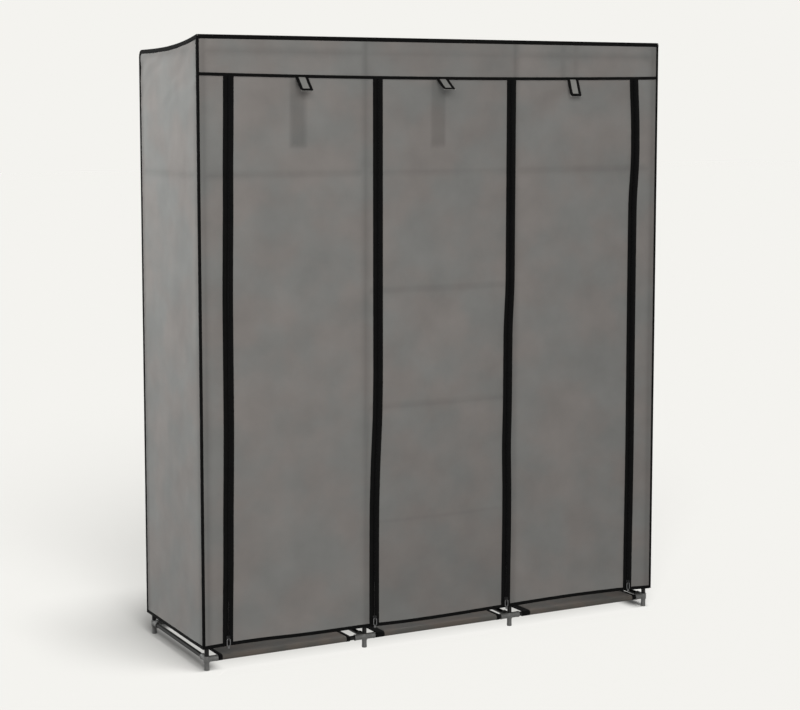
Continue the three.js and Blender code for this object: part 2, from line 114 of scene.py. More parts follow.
# Levels of the tubes, counted from the base. The outer bays have the base, the
# upper shelf and the top alone.
LEVEL_COUNT = 6
TOP_RAILS = LEVEL_COUNT - 1
UPPER_SHELF = TOP_RAILS - 1
WIDE_LEVELS = (0, UPPER_SHELF, TOP_RAILS)
LEVELS = [BASE_LEVEL + (TOP_LEVEL - BASE_LEVEL) * level / TOP_RAILS for level in range(LEVEL_COUNT)]
MIDDLE_POSTS = (2, 3)
BAYS = {side: (POST_X[index], POST_X[index + 1]) for index, side in enumerate(SIDES)}
DOOR_TOPS = {side: box(f"door_{side}")[1].z for side in SIDES}
JOINTS = {joint["name"]: joint for joint in frame["record"]["behaviour"]["joints"]}

# Rows of a zip tape's solid lie further apart than this
TAPE_ROW_GAP = 20 * MM
# The zips and the hem are averaged over these distances, so that they sway in soft curves
EASE = np.linspace(-40 * MM, 40 * MM, 9)


def zip_line(number):
    """Heights of a zip's rows, and its middle at each, from its tape's solid."""
    rows = []
    for place in sorted((vertex.co for vertex in frame["nodes"][f"zip_tape_{number}"].data.vertices),
                        key=lambda co: co.z):
        if not rows or place.z - rows[-1][-1].z > TAPE_ROW_GAP:
            rows.append([])
        rows[-1].append(place)
    heights = [sum(place.z for place in row) / len(row) for row in rows]
    middles = [(min(place.x for place in row) + max(place.x for place in row)) / 2 for row in rows]
    return heights, middles


ZIP_LINES = {number: zip_line(number) for number in ZIP_NUMBERS}


@functools.cache
def seam_x(number, z):
    """Middle of a zip at a height."""
    return float(np.interp(z + EASE, *ZIP_LINES[number]).mean())


# Sizes and colours that a user can change

def length(name, millimetres, description):
    return FloatProperty(name=name, description=description, default=millimetres * MM, unit="LENGTH")


def linear(hex_colour):
    """An sRGB colour such as #7A7670 as linear red, green and blue."""
    shares = [int(hex_colour[start:start + 2], 16) / 255 for start in (1, 3, 5)]
    return [share / 12.92 if share <= 0.04045 else ((share + 0.055) / 1.055) ** 2.4 for share in shares]


def colour(name, hex_colour, description):
    return FloatVectorProperty(
        name=name, description=description, default=linear(hex_colour), subtype="COLOR", min=0, max=1)


class WardrobeFrameSizes(bpy.types.PropertyGroup):
    """Sizes of the tubes and of their connectors."""

    tube_radius: length("Tube radius", 6.5, "Outer radius of every steel tube")
    tube_wall: length("Tube wall", 0.8, "Thickness of the steel")
    cap_dome: length("Cap dome", 3, "Rise of the domed cap on each post")
    socket_radius: length("Socket radius", 8.5, "Outer radius of a connector's sockets")
    socket_reach: length("Socket reach", 32, "From a post's middle to the mouth of a socket")
    collar: length("Collar", 0.5, "How far the thickened mouth of a socket stands proud")
    collar_width: length("Collar width", 4, "Width of the thickened mouth of a socket")
    hub_radius: length("Hub radius", 9, "Outer radius of the hub round a post")
    hub_rise: length("Hub rise", 8.7, "Height of a hub above the tubes' middles")
    foot_radius: length("Foot radius", 7.3, "Radius of a foot's underside")
    foot_height: length("Foot height", 23, "From the floor to the underside of the hub")
    bore_clearance: length("Bore clearance", 0.3, "Room round a tube in its socket")
    edge: length("Moulded edge", 0.6, "Rounding of the connectors' edges")
    clip_radius: length("Rod clip radius", 8.8, "Outer radius of the clips that carry the hanging rods")
    clip_length: length("Rod clip length", 16, "Length of those clips along the side tubes")


class WardrobeShelfSizes(bpy.types.PropertyGroup):
    """Sizes of the fabric shelves."""

    fabric: length("Fabric", 1.2, "Thickness of the shelf fabric")
    sleeve_radius: length("Sleeve radius", 8.2, "Outer radius of the sleeves round the rails")
    raised_sleeve_radius: length("Raised sleeve radius", 7.9, "The same on the shelves above the base")
    end_room: length("End room", 36, "From a post's middle to the end of a raised shelf")
    sag: length("Sag", 4, "How far the middle of a shelf hangs down")
    binding_width: length("Binding width", 11, "Width of the black binding on the side edges")
    binding_rise: length("Binding rise", 0.4, "How far the binding stands off the fabric")


class WardrobeCoverSizes(bpy.types.PropertyGroup):
    """Sizes of the sewn cover, and of the unevenness of its cloth."""

    fabric: length("Fabric", 1.2, "Thickness of the cover's cloth")
    spacing: length("Mesh spacing", 9, "Distance between the points of the cloth's mesh")
    fold_depth: length("Fold depth", 3.4, "Depth of the broad soft folds")
    fold_width: length("Fold width", 130, "Width of those folds")
    fold_height: length("Fold height", 420, "Length of those folds")
    ripple_depth: length("Ripple depth", 0.9, "Depth of the small ripples")
    ripple_width: length("Ripple width", 38, "Width of the small ripples")
    ripple_height: length("Ripple height", 75, "Length of the small ripples")
    pucker_depth: length("Pucker depth", 1.6, "Depth of the puckers that the sewing pulls in")
    pucker_pitch: length("Pucker pitch", 42, "Distance between two puckers along a seam")
    seam_reach: length("Seam reach", 70, "How far a seam holds the cloth flat")
    corner_radius: length("Rear corner radius", 15, "Radius of the cover's rear top edge")
    front_rise: length("Front rise", 30, "Height of the front top edge over the rear one")
    roof_sag: length("Roof sag", 6, "How far the roof hangs between the posts")
    valance_sag: length("Valance sag", 6.5, "How far the valance's edge hangs in its middle")
    edge_piping: length("Edge piping", 8, "Width of the bound edges at the upright front corners")
    rear_piping: length("Rear piping", 12, "The same at the rear corners and the roof's sides")
    top_piping: length("Top piping", 12, "The same along the front top edge")
    piping_rise: length("Piping rise", 1.2, "How far a bound edge stands off the cloth")
    piping_round: length("Piping rounding", 2, "Rounding of a bound edge")
    hem_binding: length("Hem binding", 10, "Height of the binding on the hem")
    valance_binding: length("Valance binding", 8.5, "Height of the binding on the valance's edge")
    binding_rise: length("Binding rise", 0.4, "How far a binding stands off the cloth")


class WardrobeZipSizes(bpy.types.PropertyGroup):
    """Sizes of the zips and their sliders."""

    tape_width: length("Tape width", 31, "Width of both tapes together")
    tape: length("Tape", 0.8, "Thickness of the tape")
    coil_radius: length("Coil radius", 1.5, "Radius of each half of the coil")
    coil_pitch: length("Coil pitch", 4, "Distance between two turns, drawn coarser than the real 2.5 mm")
    shoulder: length("Slider shoulder", 2.2, "How far the slider narrows towards its tail")
    plate: length("Slider plate", 1.2, "Thickness of each plate of the slider")
    channel: length("Slider channel", 1.8, "Room between the slider's plates")
    crown: length("Crown", 1, "Thickness of the bridge that holds the pull")
    pull: length("Pull", 1.2, "Thickness of the pull")
    ring_width: length("Ring width", 12, "Width of the pull's ring")
    ring_height: length("Ring height", 22.5, "Height of the pull's ring")
    ring_wire: length("Ring wire", 2.6, "Width of the ring's sides")
    tab_width: length("Tab width", 7, "Width of the tab under the ring")
    tab_drop: length("Tab drop", 4, "How far the tab hangs below the pull's solid")


class WardrobeStrapSizes(bpy.types.PropertyGroup):
    """Sizes of the straps that hold a rolled-up door."""

    width: length("Width", 38, "Width of an outer strap")
    reach: length("Length", 54, "Length of an outer strap")
    binding: length("Binding", 9, "Width of the black binding round a strap")
    curl: length("Curl", 3, "How far a strap's end curls")
    inner_width: length("Inner width", 45, "Width of an inner strap")
    inner_reach: length("Inner length", 190, "Length of an inner strap")
    turned_up_reach: length("Turned-up length", 95, "Height of the inner strap that is turned up")
    inner_shift: length("Inner shift", -10, "How far an inner strap hangs to the right of its outer one")
    inner_gap: length("Inner gap", 4.4, "From the door's face to the inner strap")


class WardrobeColours(bpy.types.PropertyGroup):
    """Colours of the materials."""

    cover_warm: colour("Cover, warm", "#797572", "Warm patches of the cover's cloth")
    cover_cool: colour("Cover, cool", "#757573", "Cool patches of the cover's cloth")
    shelf_warm: colour("Shelf, warm", "#5A534D", "Warm patches of the shelf fabric")
    shelf_cool: colour("Shelf, cool", "#4F4E4B", "Cool patches of the shelf fabric")
    strap_warm: colour("Strap, warm", "#807E7A", "Warm patches of the straps")
    strap_cool: colour("Strap, cool", "#7D7D7A", "Cool patches of the straps")
    tape: colour("Tape", "#070707", "Binding, piping and zip tape")
    coil: colour("Coil", "#060607", "Coil of the zips")
    steel: colour("Steel", "#0C0C0C", "Powder-coated tubes")
    plastic: colour("Plastic", "#585857", "Moulded connectors")
    slider: colour("Slider", "#161617", "Sliders of the zips")
    metal: colour("Pull", "#5E5E5F", "Pulls of the zips")
    floor: colour("Floor", "#F4F3EF", "Studio floor and background")


GROUPS = {
    "wardrobe_frame": WardrobeFrameSizes,
    "wardrobe_shelves": WardrobeShelfSizes,
    "wardrobe_cover": WardrobeCoverSizes,
    "wardrobe_zips": WardrobeZipSizes,
    "wardrobe_straps": WardrobeStrapSizes,
    "wardrobe_colours": WardrobeColours,
}


# Shapes

ROUND_SIDES = 28
SMOOTH_ANGLE = math.radians(40)
WELD = 0.001 * MM


def spread(low, high, spacing):
    """Evenly spaced values from low to high, about a spacing apart."""
    return [float(value) for value in np.linspace(low, high, max(1, round(abs(high - low) / spacing)) + 1)]


def settle(distance, reach):
    """Rises smoothly from 0 at no distance to 1 at a reach."""
    share = min(max(distance / reach, 0), 1)
    return share * share * (3 - 2 * share)


def running_lengths(points):
    """How far along a line each of its points lies."""
    lengths = [0.0]
    for start, end in zip(points, points[1:]):
        lengths.append(lengths[-1] + (Vector(end) - Vector(start)).length)
    return lengths


class Shape:
    """Points and faces of one piece, gathered before its mesh is made. Each face
    keeps its corners' places on the flat cloth or skin, in metres, so that a
    weave can run along it."""

    def __init__(self):
        self.points = []
        self.faces = []
        self.flats = []
        # Painted shade at each point, where the frame behind the cloth keeps light from coming through it
        self.painted_shade = []

    def grid(self, rows, flat, closed=False):
        """Joins rows of points, all as long, with four-sided faces."""
        start, width = len(self.points), len(rows[0])
        self.points += [Vector(point) for row in rows for point in row]
        for row in range(len(rows) - 1):
            for column in range(width if closed else width - 1):
                corners = [(row, column), (row, column + 1), (row + 1, column + 1), (row + 1, column)]
                self.faces.append([start + r * width + c % width for r, c in corners])
                self.flats.append([flat(r, c) for r, c in corners])

    def cap(self, row):
        """Closes an end with one face over a ring of points already added."""
        self.faces.append(list(row))
        self.flats.append([(0.0, 0.0)] * len(row))

    def sweep(self, path, profiles, up, closed=False):
        """Carries a closed profile of (across, upward) places along a path. There
        is one profile for all of the path, or one for each of its points."""
        path = [Vector(point) for point in path]
        if not isinstance(profiles[0][0], (tuple, list)):
            profiles = [profiles] * len(path)
        rows = []
        for index, point in enumerate(path):
            if closed:
                tangent = (path[(index + 1) % len(path)] - path[index - 1]).normalized()
            else:
                tangent = (path[min(index + 1, len(path) - 1)] - path[max(index - 1, 0)]).normalized()
            across = tangent.cross(up).normalized()
            upward = across.cross(tangent)
            rows.append([point + across * a + upward * b for a, b in profiles[index]])
        start, width = len(self.points), len(rows[0])
        around = running_lengths([*rows[0], rows[0][0]])
        lengths = running_lengths(path + path[:1])
        if closed:
            rows.append(rows[0])
        self.grid(rows, lambda r, c: (around[c], lengths[r]), closed=True)
        if not closed:
            self.cap(range(start, start + width))
            self.cap(range(start + width * (len(rows) - 1), start + width * len(rows)))

    def turn(self, profile, place, axis):
        """Turns a profile of (along, radius) places round an axis. A profile that
        doesn't start and end on the axis is a ring's closed section."""
        across = axis.orthogonal().normalized()
        other = axis.cross(across)
        ring = [across * a + other * b for a, b in circle(1, ROUND_SIDES)]
        is_ring = profile[0][1] > 0
        turned = [*profile, profile[0]] if is_ring else profile[1:-1]
        rows = [[Vector(place) + axis * along + spoke * radius for spoke in ring]
                for along, radius in turned]
        start = len(self.points)
        along = [point[0] for point in turned]
        step_length = math.tau * max(radius for _, radius in profile) / ROUND_SIDES
        self.grid(rows, lambda r, c: (c * step_length, along[r]), closed=True)
        if not is_ring:
            self.cap(range(start, start + ROUND_SIDES))
            self.cap(range(len(self.points) - ROUND_SIDES, len(self.points)))

    def bar(self, start, end, radius, bevel):
        """A round bar between two points, with its ends' edges taken off."""
        start, end = Vector(start), Vector(end)
        long = (end - start).length
        profile = [(0, 0), (0, radius - bevel), (bevel, radius),
                   (long - bevel, radius), (long, radius - bevel), (long, 0)]
        self.turn(profile, start, (end - start).normalized())

    def mesh(self, name, solid=True):
        """The shape as a Blender mesh, smooth but for its sharp edges."""
        mesh = bpy.data.meshes.new(name)
        mesh.from_pydata(self.points, [], self.faces)
        flat = mesh.uv_layers.new(name="flat")
        flat.data.foreach_set("uv", [value for face in self.flats for place in face for value in place])
        shaped = bmesh.new()
        shaped.from_mesh(mesh)
        bmesh.ops.remove_doubles(shaped, verts=shaped.verts, dist=WELD)
        if solid:
            bmesh.ops.recalc_face_normals(shaped, faces=shaped.faces)
        shaped.to_mesh(mesh)
        shaped.free()
        # The painted shade goes with the mesh, and the cloth's material darkens by it
        if self.painted_shade:
            shade = mesh.attributes.new("painted_shade", "FLOAT", "POINT")
            shade.data.foreach_set("value", self.painted_shade)
        mesh.shade_smooth()
        mesh.set_sharp_from_angle(angle=SMOOTH_ANGLE)
        return mesh


def rounded(width, height, radius, steps=3):
    """A rectangle with round corners, round the origin, as (across, upward) places."""
    places = []
    for turn, (side, end) in enumerate(((1, 1), (-1, 1), (-1, -1), (1, -1))):
        for step in range(steps + 1):
            angle = math.pi / 2 * (turn + step / steps)
            places.append((side * (width / 2 - radius) + radius * math.cos(angle),
                           end * (height / 2 - radius) + radius * math.sin(angle)))
    return places


def circle(radius, sides):
    """A circle round the origin, as (across, upward) places."""
    return [(radius * math.cos(math.tau * step / sides), radius * math.sin(math.tau * step / sides))
            for step in range(sides)]


def raised(profile, upward):
    """A profile, moved up."""
    return [(a, b + upward) for a, b in profile]


def line_normal(line, index):
    """Direction square to a line of (y, z) places at one of them."""
    before, after = line[max(index - 1, 0)], line[min(index + 1, len(line) - 1)]
    return RIGHTWARDS.cross(Vector((0, after[0] - before[0], after[1] - before[1])).normalized())


def link(name, mesh, material, body="root", stands_for=(), place=None):
    """Puts a mesh in the scene as a piece that rides on a body."""
    made = bpy.data.objects.new(name, mesh)
    bpy.context.scene.collection.objects.link(made)
    if place:
        made.matrix_world = place
    if not mesh.materials:
        mesh.materials.append(material)
    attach(made, body)
    if stands_for:
        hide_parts(*stands_for)
    return made


def piece(name, shape, material, body="root", stands_for=(), solid=True):
    """Puts a shape in the scene as a piece."""
    return link(name, shape.mesh(name, solid), material, body, stands_for)


def thicken(cloth, thickness):
    """Gives a sheet its thickness, towards its inside."""
    solid = cloth.modifiers.new("thickness", "SOLIDIFY")
    solid.thickness = thickness
    solid.offset = -1
    return cloth


def worked_in(made):
    """Works a piece's modifiers into its mesh."""
    evaluated = made.evaluated_get(bpy.context.evaluated_depsgraph_get())
    mesh = bpy.data.meshes.new_from_object(evaluated)
    made.modifiers.clear()
    made.data = mesh
    return mesh


# Materials

def node(tree, kind, inputs=(), **settings):
    """Adds a node with its settings. Each input is a value or another node's output."""
    made = tree.nodes.new(kind)
    for name, value in settings.items():
        setattr(made, name, value)
    for socket, value in dict(inputs).items():
        if isinstance(value, bpy.types.NodeSocket):
            tree.links.new(value, made.inputs[socket])
        else:
            made.inputs[socket].default_value = value
    return made


# Sockets of the Mix node for two colours
FACTOR, FIRST_COLOUR, SECOND_COLOUR, MIXED_COLOUR = 0, 6, 7, 2


def new_material(name):
    """An empty material and its node tree."""
    material = bpy.data.materials.new(name)
    material.use_nodes = True
    tree = material.node_tree
    tree.nodes.clear()
    return material, tree


def opaque(rgb):
    """A colour for a socket that takes four values."""
    return (*rgb, 1.0)


def nonwoven_polypropylene(name, warm, cool, patch):
    """Non-woven polypropylene: fibres pressed and spot-welded into a matt felt-like
    sheet. The eye sees soft warm and cool patches and, from near, rows of weld
    dimples. The real dimples lie 1.5 mm apart, and are drawn at 4 mm to show."""
    material, tree = new_material(name)
    flat = node(tree, "ShaderNodeTexCoord").outputs["UV"]
    patches = node(tree, "ShaderNodeTexNoise", {
        "Vector": flat, "Scale": 1 / patch, "Detail": 3.0, "Roughness": 0.5})
    tinted = node(tree, "ShaderNodeMapRange", {
        "Value": patches.outputs["Fac"], "From Min": 0.36, "From Max": 0.64},
        interpolation_type="SMOOTHSTEP")
    cloth = node(tree, "ShaderNodeMix", {
        FACTOR: tinted.outputs["Result"], FIRST_COLOUR: opaque(warm), SECOND_COLOUR: opaque(cool)},
        data_type="RGBA")
    # Fibres bunch and thin out over a hand's breadth, which shades the sheet a little
    clouds = node(tree, "ShaderNodeTexNoise", {
        "Vector": flat, "Scale": 1 / (120 * MM), "Detail": 5.0, "Roughness": 0.55})
    fibres = node(tree, "ShaderNodeMapRange", {
        "Value": clouds.outputs["Fac"], "From Min": 0.3, "From Max": 0.7, "To Min": 0.91, "To Max": 1.07})
    # Painted shade where tubes and straps touch the thin cloth from inside and keep light from coming
    # through it
    behind = node(tree, "ShaderNodeAttribute", attribute_name="painted_shade")
    shade = node(tree, "ShaderNodeMapRange", {
        "Value": behind.outputs["Fac"], "To Min": 1.0, "To Max": 0.62})
    level = node(tree, "ShaderNodeMath", {0: fibres.outputs["Result"], 1: shade.outputs["Result"]},
                 operation="MULTIPLY")
    shaded = node(tree, "ShaderNodeVectorMath", {0: cloth.outputs[MIXED_COLOUR], 3: level.outputs["Value"]},
                  operation="SCALE")
    dimples = node(tree, "ShaderNodeTexVoronoi", {
        "Vector": flat, "Scale": 1 / (4 * MM), "Randomness": 0.25}, feature="F1")
    welds = node(tree, "ShaderNodeBump", {
        "Height": dimples.outputs["Distance"], "Strength": 0.25, "Distance": 0.3 * MM})
    felt = node(tree, "ShaderNodeTexNoise", {"Vector": flat, "Scale": 1 / (9 * MM), "Detail": 5.0})
    fuzz = node(tree, "ShaderNodeBump", {
        "Height": felt.outputs["Fac"], "Strength": 0.35, "Distance": 0.5 * MM,
        "Normal": welds.outputs["Normal"]})
    sheet = node(tree, "ShaderNodeBsdfPrincipled", {
        "Base Color": shaded.outputs["Vector"], "Roughness": 0.82, "IOR": 1.49,
        "Specular IOR Level": 0.15, "Sheen Weight": 0.05, "Sheen Roughness": 0.5,
        "Normal": fuzz.outputs["Normal"]})
    node(tree, "ShaderNodeOutputMaterial", {"Surface": sheet.outputs["BSDF"]})
    return material


def woven_polyester_tape(name, tint):
    """Woven polyester tape: a tight ribbed ribbon, dyed black. The eye sees a matt
    band with a faint rib across it. The real rib is 0.8 mm, and is drawn at 2 mm."""
    material, tree = new_material(name)
    flat = node(tree, "ShaderNodeTexCoord").outputs["UV"]
    ribs = node(tree, "ShaderNodeTexWave", {
        "Vector": flat, "Scale": 1 / (2 * MM) / math.tau, "Distortion": 0.6, "Detail": 1.0},
        wave_type="BANDS", bands_direction="Y")
    wear = node(tree, "ShaderNodeTexNoise", {"Vector": flat, "Scale": 1 / (30 * MM), "Detail": 3.0})
    faded = node(tree, "ShaderNodeMapRange", {
        "Value": wear.outputs["Fac"], "From Min": 0.35, "From Max": 0.75, "To Min": 0.8, "To Max": 1.6})
    dyed = node(tree, "ShaderNodeVectorMath", {0: tint, 3: faded.outputs["Result"]}, operation="SCALE")
    weave = node(tree, "ShaderNodeBump", {
        "Height": ribs.outputs["Fac"], "Strength": 0.4, "Distance": 0.3 * MM})
    tape = node(tree, "ShaderNodeBsdfPrincipled", {
        "Base Color": dyed.outputs["Vector"], "Roughness": 0.85, "IOR": 1.55,
        "Specular IOR Level": 0.06, "Normal": weave.outputs["Normal"]})
    node(tree, "ShaderNodeOutputMaterial", {"Surface": tape.outputs["BSDF"]})
    return material


def nylon_coil(name, tint):
    """Nylon monofilament, wound into a coil: smooth and a little glossy, so each
    turn catches a small light."""
    material, tree = new_material(name)
    place = node(tree, "ShaderNodeTexCoord").outputs["Object"]
    grain = node(tree, "ShaderNodeTexNoise", {"Vector": place, "Scale": 1 / (3 * MM), "Detail": 2.0})
    dyed = node(tree, "ShaderNodeMapRange", {
        "Value": grain.outputs["Fac"], "To Min": 0.85, "To Max": 1.25})
    shade = node(tree, "ShaderNodeVectorMath", {0: tint, 3: dyed.outputs["Result"]}, operation="SCALE")
    coil = node(tree, "ShaderNodeBsdfPrincipled", {
        "Base Color": shade.outputs["Vector"], "Roughness": 0.45, "IOR": 1.53, "Specular IOR Level": 0.05})
    node(tree, "ShaderNodeOutputMaterial", {"Surface": coil.outputs["BSDF"]})
    return material


def powder_coated_steel(name, tint):
    """Steel tube under black powder coat: baked resin with a fine orange peel, which
    breaks its highlights up. The real peel is 0.6 mm, and is drawn at 1.5 mm."""
    material, tree = new_material(name)
    place = node(tree, "ShaderNodeTexCoord").outputs["Object"]
    peel = node(tree, "ShaderNodeTexNoise", {"Vector": place, "Scale": 1 / (1.5 * MM), "Detail": 2.0})
    skin = node(tree, "ShaderNodeBump", {
        "Height": peel.outputs["Fac"], "Strength": 0.3, "Distance": 0.1 * MM})
    dust = node(tree, "ShaderNodeTexNoise", {"Vector": place, "Scale": 1 / (60 * MM), "Detail": 4.0})
    dusty = node(tree, "ShaderNodeMapRange", {
        "Value": dust.outputs["Fac"], "From Min": 0.4, "From Max": 0.8, "To Min": 0.9, "To Max": 1.7})
    coat = node(tree, "ShaderNodeVectorMath", {0: tint, 3: dusty.outputs["Result"]}, operation="SCALE")
    steel = node(tree, "ShaderNodeBsdfPrincipled", {
        "Base Color": coat.outputs["Vector"], "Roughness": 0.38, "IOR": 1.5,
        "Specular IOR Level": 0.16, "Normal": skin.outputs["Normal"]})
    node(tree, "ShaderNodeOutputMaterial", {"Surface": steel.outputs["BSDF"]})
    return material


def moulded_polypropylene(name, tint):
    """Polypropylene, injection moulded with a fine spark texture: mid grey, waxy and
    softly lit, with faint flow marks. The texture is drawn at 1.2 mm to show."""
    material, tree = new_material(name)
    place = node(tree, "ShaderNodeTexCoord").outputs["Object"]
    spark = node(tree, "ShaderNodeTexNoise", {"Vector": place, "Scale": 1 / (1.2 * MM), "Detail": 3.0})
    texture = node(tree, "ShaderNodeBump", {
        "Height": spark.outputs["Fac"], "Strength": 0.25, "Distance": 0.12 * MM})
    flow = node(tree, "ShaderNodeTexNoise", {
        "Vector": place, "Scale": 1 / (14 * MM), "Detail": 3.0, "Distortion": 1.2})
    marks = node(tree, "ShaderNodeMapRange", {
        "Value": flow.outputs["Fac"], "From Min": 0.3, "From Max": 0.7, "To Min": 0.86, "To Max": 1.12})
    shade = node(tree, "ShaderNodeVectorMath", {0: tint, 3: marks.outputs["Result"]}, operation="SCALE")
    plastic = node(tree, "ShaderNodeBsdfPrincipled", {
        "Base Color": shade.outputs["Vector"], "Roughness": 0.48, "IOR": 1.49,
        "Normal": texture.outputs["Normal"]})
    node(tree, "ShaderNodeOutputMaterial", {"Surface": plastic.outputs["BSDF"]})
    return material


def enamelled_zinc(name, tint):
    """Die-cast zinc with a thin enamel, rubbed by handling: a dull metal sheen with
    finer, brighter scuffs."""
    material, tree = new_material(name)
    place = node(tree, "ShaderNodeTexCoord").outputs["Object"]
    scuffs = node(tree, "ShaderNodeTexNoise", {
        "Vector": place, "Scale": 1 / (2.5 * MM), "Detail": 4.0, "Distortion": 0.8})
    rubbed = node(tree, "ShaderNodeMapRange", {
        "Value": scuffs.outputs["Fac"], "From Min": 0.4, "From Max": 0.7, "To Min": 0.32, "To Max": 0.5})
    bright = node(tree, "ShaderNodeMapRange", {
        "Value": scuffs.outputs["Fac"], "From Min": 0.35, "From Max": 0.7, "To Min": 0.85, "To Max": 1.3})
    shade = node(tree, "ShaderNodeVectorMath", {0: tint, 3: bright.outputs["Result"]}, operation="SCALE")
    metal = node(tree, "ShaderNodeBsdfPrincipled", {
        "Base Color": shade.outputs["Vector"], "Metallic": 0.75, "Roughness": rubbed.outputs["Result"]})
    node(tree, "ShaderNodeOutputMaterial", {"Surface": metal.outputs["BSDF"]})
    return material


# Each material's maker, its name, its colours and, for cloth, the size of its patches
MAKERS = {
    "cover": (nonwoven_polypropylene, "nonwoven_cover_cloth", ("cover_warm", "cover_cool"), 170 * MM),
    "shelf": (nonwoven_polypropylene, "nonwoven_shelf_cloth", ("shelf_warm", "shelf_cool"), 110 * MM),
    "strap": (nonwoven_polypropylene, "nonwoven_strap_cloth", ("strap_warm", "strap_cool"), 60 * MM),
    "tape": (woven_polyester_tape, "woven_polyester_tape", ("tape",)),
    "coil": (nylon_coil, "nylon_coil", ("coil",)),
    "steel": (powder_coated_steel, "powder_coated_steel", ("steel",)),
    "plastic": (moulded_polypropylene, "moulded_polypropylene", ("plastic",)),
    "slider": (enamelled_zinc, "black_enamelled_zinc", ("slider",)),
    "metal": (enamelled_zinc, "grey_enamelled_zinc", ("metal",)),
}
MATERIALS = {}


def material_for(purpose):
    """The material for a purpose, made when it is first asked for."""
    if purpose not in MATERIALS:
        maker, name, tints, *patch = MAKERS[purpose]
        colours = bpy.context.scene.wardrobe_colours
        MATERIALS[purpose] = maker(name, *(getattr(colours, tint) for tint in tints), *patch)
    return MATERIALS[purpose]


# Cloth

def waviness(across, along, width, height, seed):
    """Smooth unevenness from about -0.5 to 0.5, in waves of a width and a height."""
    return noise.noise(Vector((across / width, along / height, seed)))


# Puckers lie between these shares of a seam's reach
PUCKER_START, PUCKER_END = 1 / 8, 0.8


def dip(across, along, to_seam, seed, cloth):
    """How far cloth hangs inside its flat plane: broad folds and ripples away from
    the seams, and puckers beside them."""
    broad = 0.5 + waviness(across, along, cloth.fold_width, cloth.fold_height, seed)
    ripple = 0.5 + waviness(across, along, cloth.ripple_width, cloth.ripple_height, seed + 7)
    drift = 2 * waviness(along, across, cloth.fold_height / 3, cloth.fold_width, seed + 3)
    pucker = 0.5 + 0.5 * math.sin(math.tau * (along / cloth.pucker_pitch + drift))
    beside = (settle(to_seam - cloth.hem_binding, cloth.seam_reach * PUCKER_START)
              * (1 - settle(to_seam, cloth.seam_reach * PUCKER_END)))
    loose = settle(to_seam, cloth.seam_reach)
    return (max(0, loose * (cloth.fold_depth * broad + cloth.ripple_depth * ripple))
            + beside * cloth.pucker_depth * pucker)


def bell(distance, width):
    """1 at no distance, and almost 0 at the given width."""
    return math.exp(-4 * (distance / width) ** 2)


# How strongly a post, a shelf's rail and an inner strap darken the cloth as painted shade, for the light
# that they keep from coming through it, as shares, and over what width their shade fades
POST_PAINTED_SHADE_SHARE = 0.58
RAIL_PAINTED_SHADE_SHARE = 0.36
STRAP_PAINTED_SHADE_SHARE = 0.65
POST_SHADE = 22 * MM
RAIL_SHADE = 20 * MM
STRAP_SHADE = 14 * MM
# An inner strap's painted shade begins this far outside it
STRAP_SHADE_START = 8 * MM
# The side whose inner strap is turned up behind the valance, where its edges show as painted shade
TURNED_UP = "right"
TURNED_UP_PAINTED_SHADE_SHARE = 0.5 * STRAP_PAINTED_SHADE_SHARE
# Painted shade on the middle door, at the bottom and at the top, for the light that the middle bay's
# shelves keep from coming through it
BAY_PAINTED_SHADES = (0.34, 0.2)


def painted_frame_shade(across, posts, z, levels=LEVELS[UPPER_SHELF:]):
    """How much painted shade the posts and the rails lay on the cloth at a place."""
    return max(max(POST_PAINTED_SHADE_SHARE * bell(across - post, POST_SHADE) for post in posts),
               max(RAIL_PAINTED_SHADE_SHARE * bell(z - level, RAIL_SHADE) for level in levels))


def painted_shade_on_front(x, z):
    """How much painted shade the frame and the inner straps lay on the front, from 0 to 1."""
    straps = bpy.context.scene.wardrobe_straps
    if BAYS["middle"][0] < x < BAYS["middle"][1]:
        far = abs(z - TOP / 2) / (TOP / 2)
        shown = max(painted_frame_shade(x, POST_X, z, LEVELS[1:]), BAY_PAINTED_SHADES[z > TOP / 2] * far)
    else:
        shown = painted_frame_shade(x, POST_X, z)
    under = valance_z(x) - z
    for side in SIDES:
        beside = abs(x - strap_x(side) - straps.inner_shift) - straps.inner_width / 2
        if side != TURNED_UP:
            off = max(beside, under - straps.inner_reach, -under)
            shown = max(shown, STRAP_PAINTED_SHADE_SHARE * settle(STRAP_SHADE_START - off, STRAP_SHADE))
        elif under < 0:
            shown = max(shown, TURNED_UP_PAINTED_SHADE_SHARE * bell(beside, STRAP_SHADE))
    return shown


def roof_z(y):
    """Height of the cover's top from front to back."""
    cloth = bpy.context.scene.wardrobe_cover
    share = (y - FRONT) / DEPTH
    return TOP - cloth.front_rise * (1 - (1 - share) ** 3)


def roof_line(step):
    """Places (y, z) of the cover's outline, from the rear corner's foot to the front edge."""
    cloth = bpy.context.scene.wardrobe_cover
    radius = cloth.corner_radius
    corner_y, corner_z = BACK - radius, roof_z(BACK) - radius
    turned = [(corner_y + radius * math.cos(angle), corner_z + radius * math.sin(angle))
              for angle in spread(0, math.pi / 2, step / radius)]
    return turned + [(y, roof_z(y)) for y in spread(corner_y, FRONT, step)[1:]]


def valance_z(x):
    """Height of the valance's lower edge."""
    cloth = bpy.context.scene.wardrobe_cover
    outer = box("door_left")[0].x

    def sag(place):
        return cloth.valance_sag * (1 - (place / RIGHT) ** 2)

    return DOOR_TOPS["left"] + sag(outer) - sag(x)


# The hem's height over its straight line, read off the photograph
HEM_PLACES = (-0.75, -0.68, -0.57, -0.44, -0.24, -0.12, 0.02, 0.18, 0.34, 0.47, 0.6, 0.67, 0.75)
HEM_RISES = [rise * MM for rise in (1, 4, 4, 0, 0, -3.5, -3, 0, 3, 4, 2, 0, -5)]


@functools.cache
def hem_z(x):
    """Height of the front's lower edge, which waves a little."""
    return HEM + float(np.interp(x + EASE, HEM_PLACES, HEM_RISES).mean())


def strap_x(side):
    """Middle of an outer strap."""
    return JOINTS[f"{side}_strap_hinge"]["pos_m"][0]


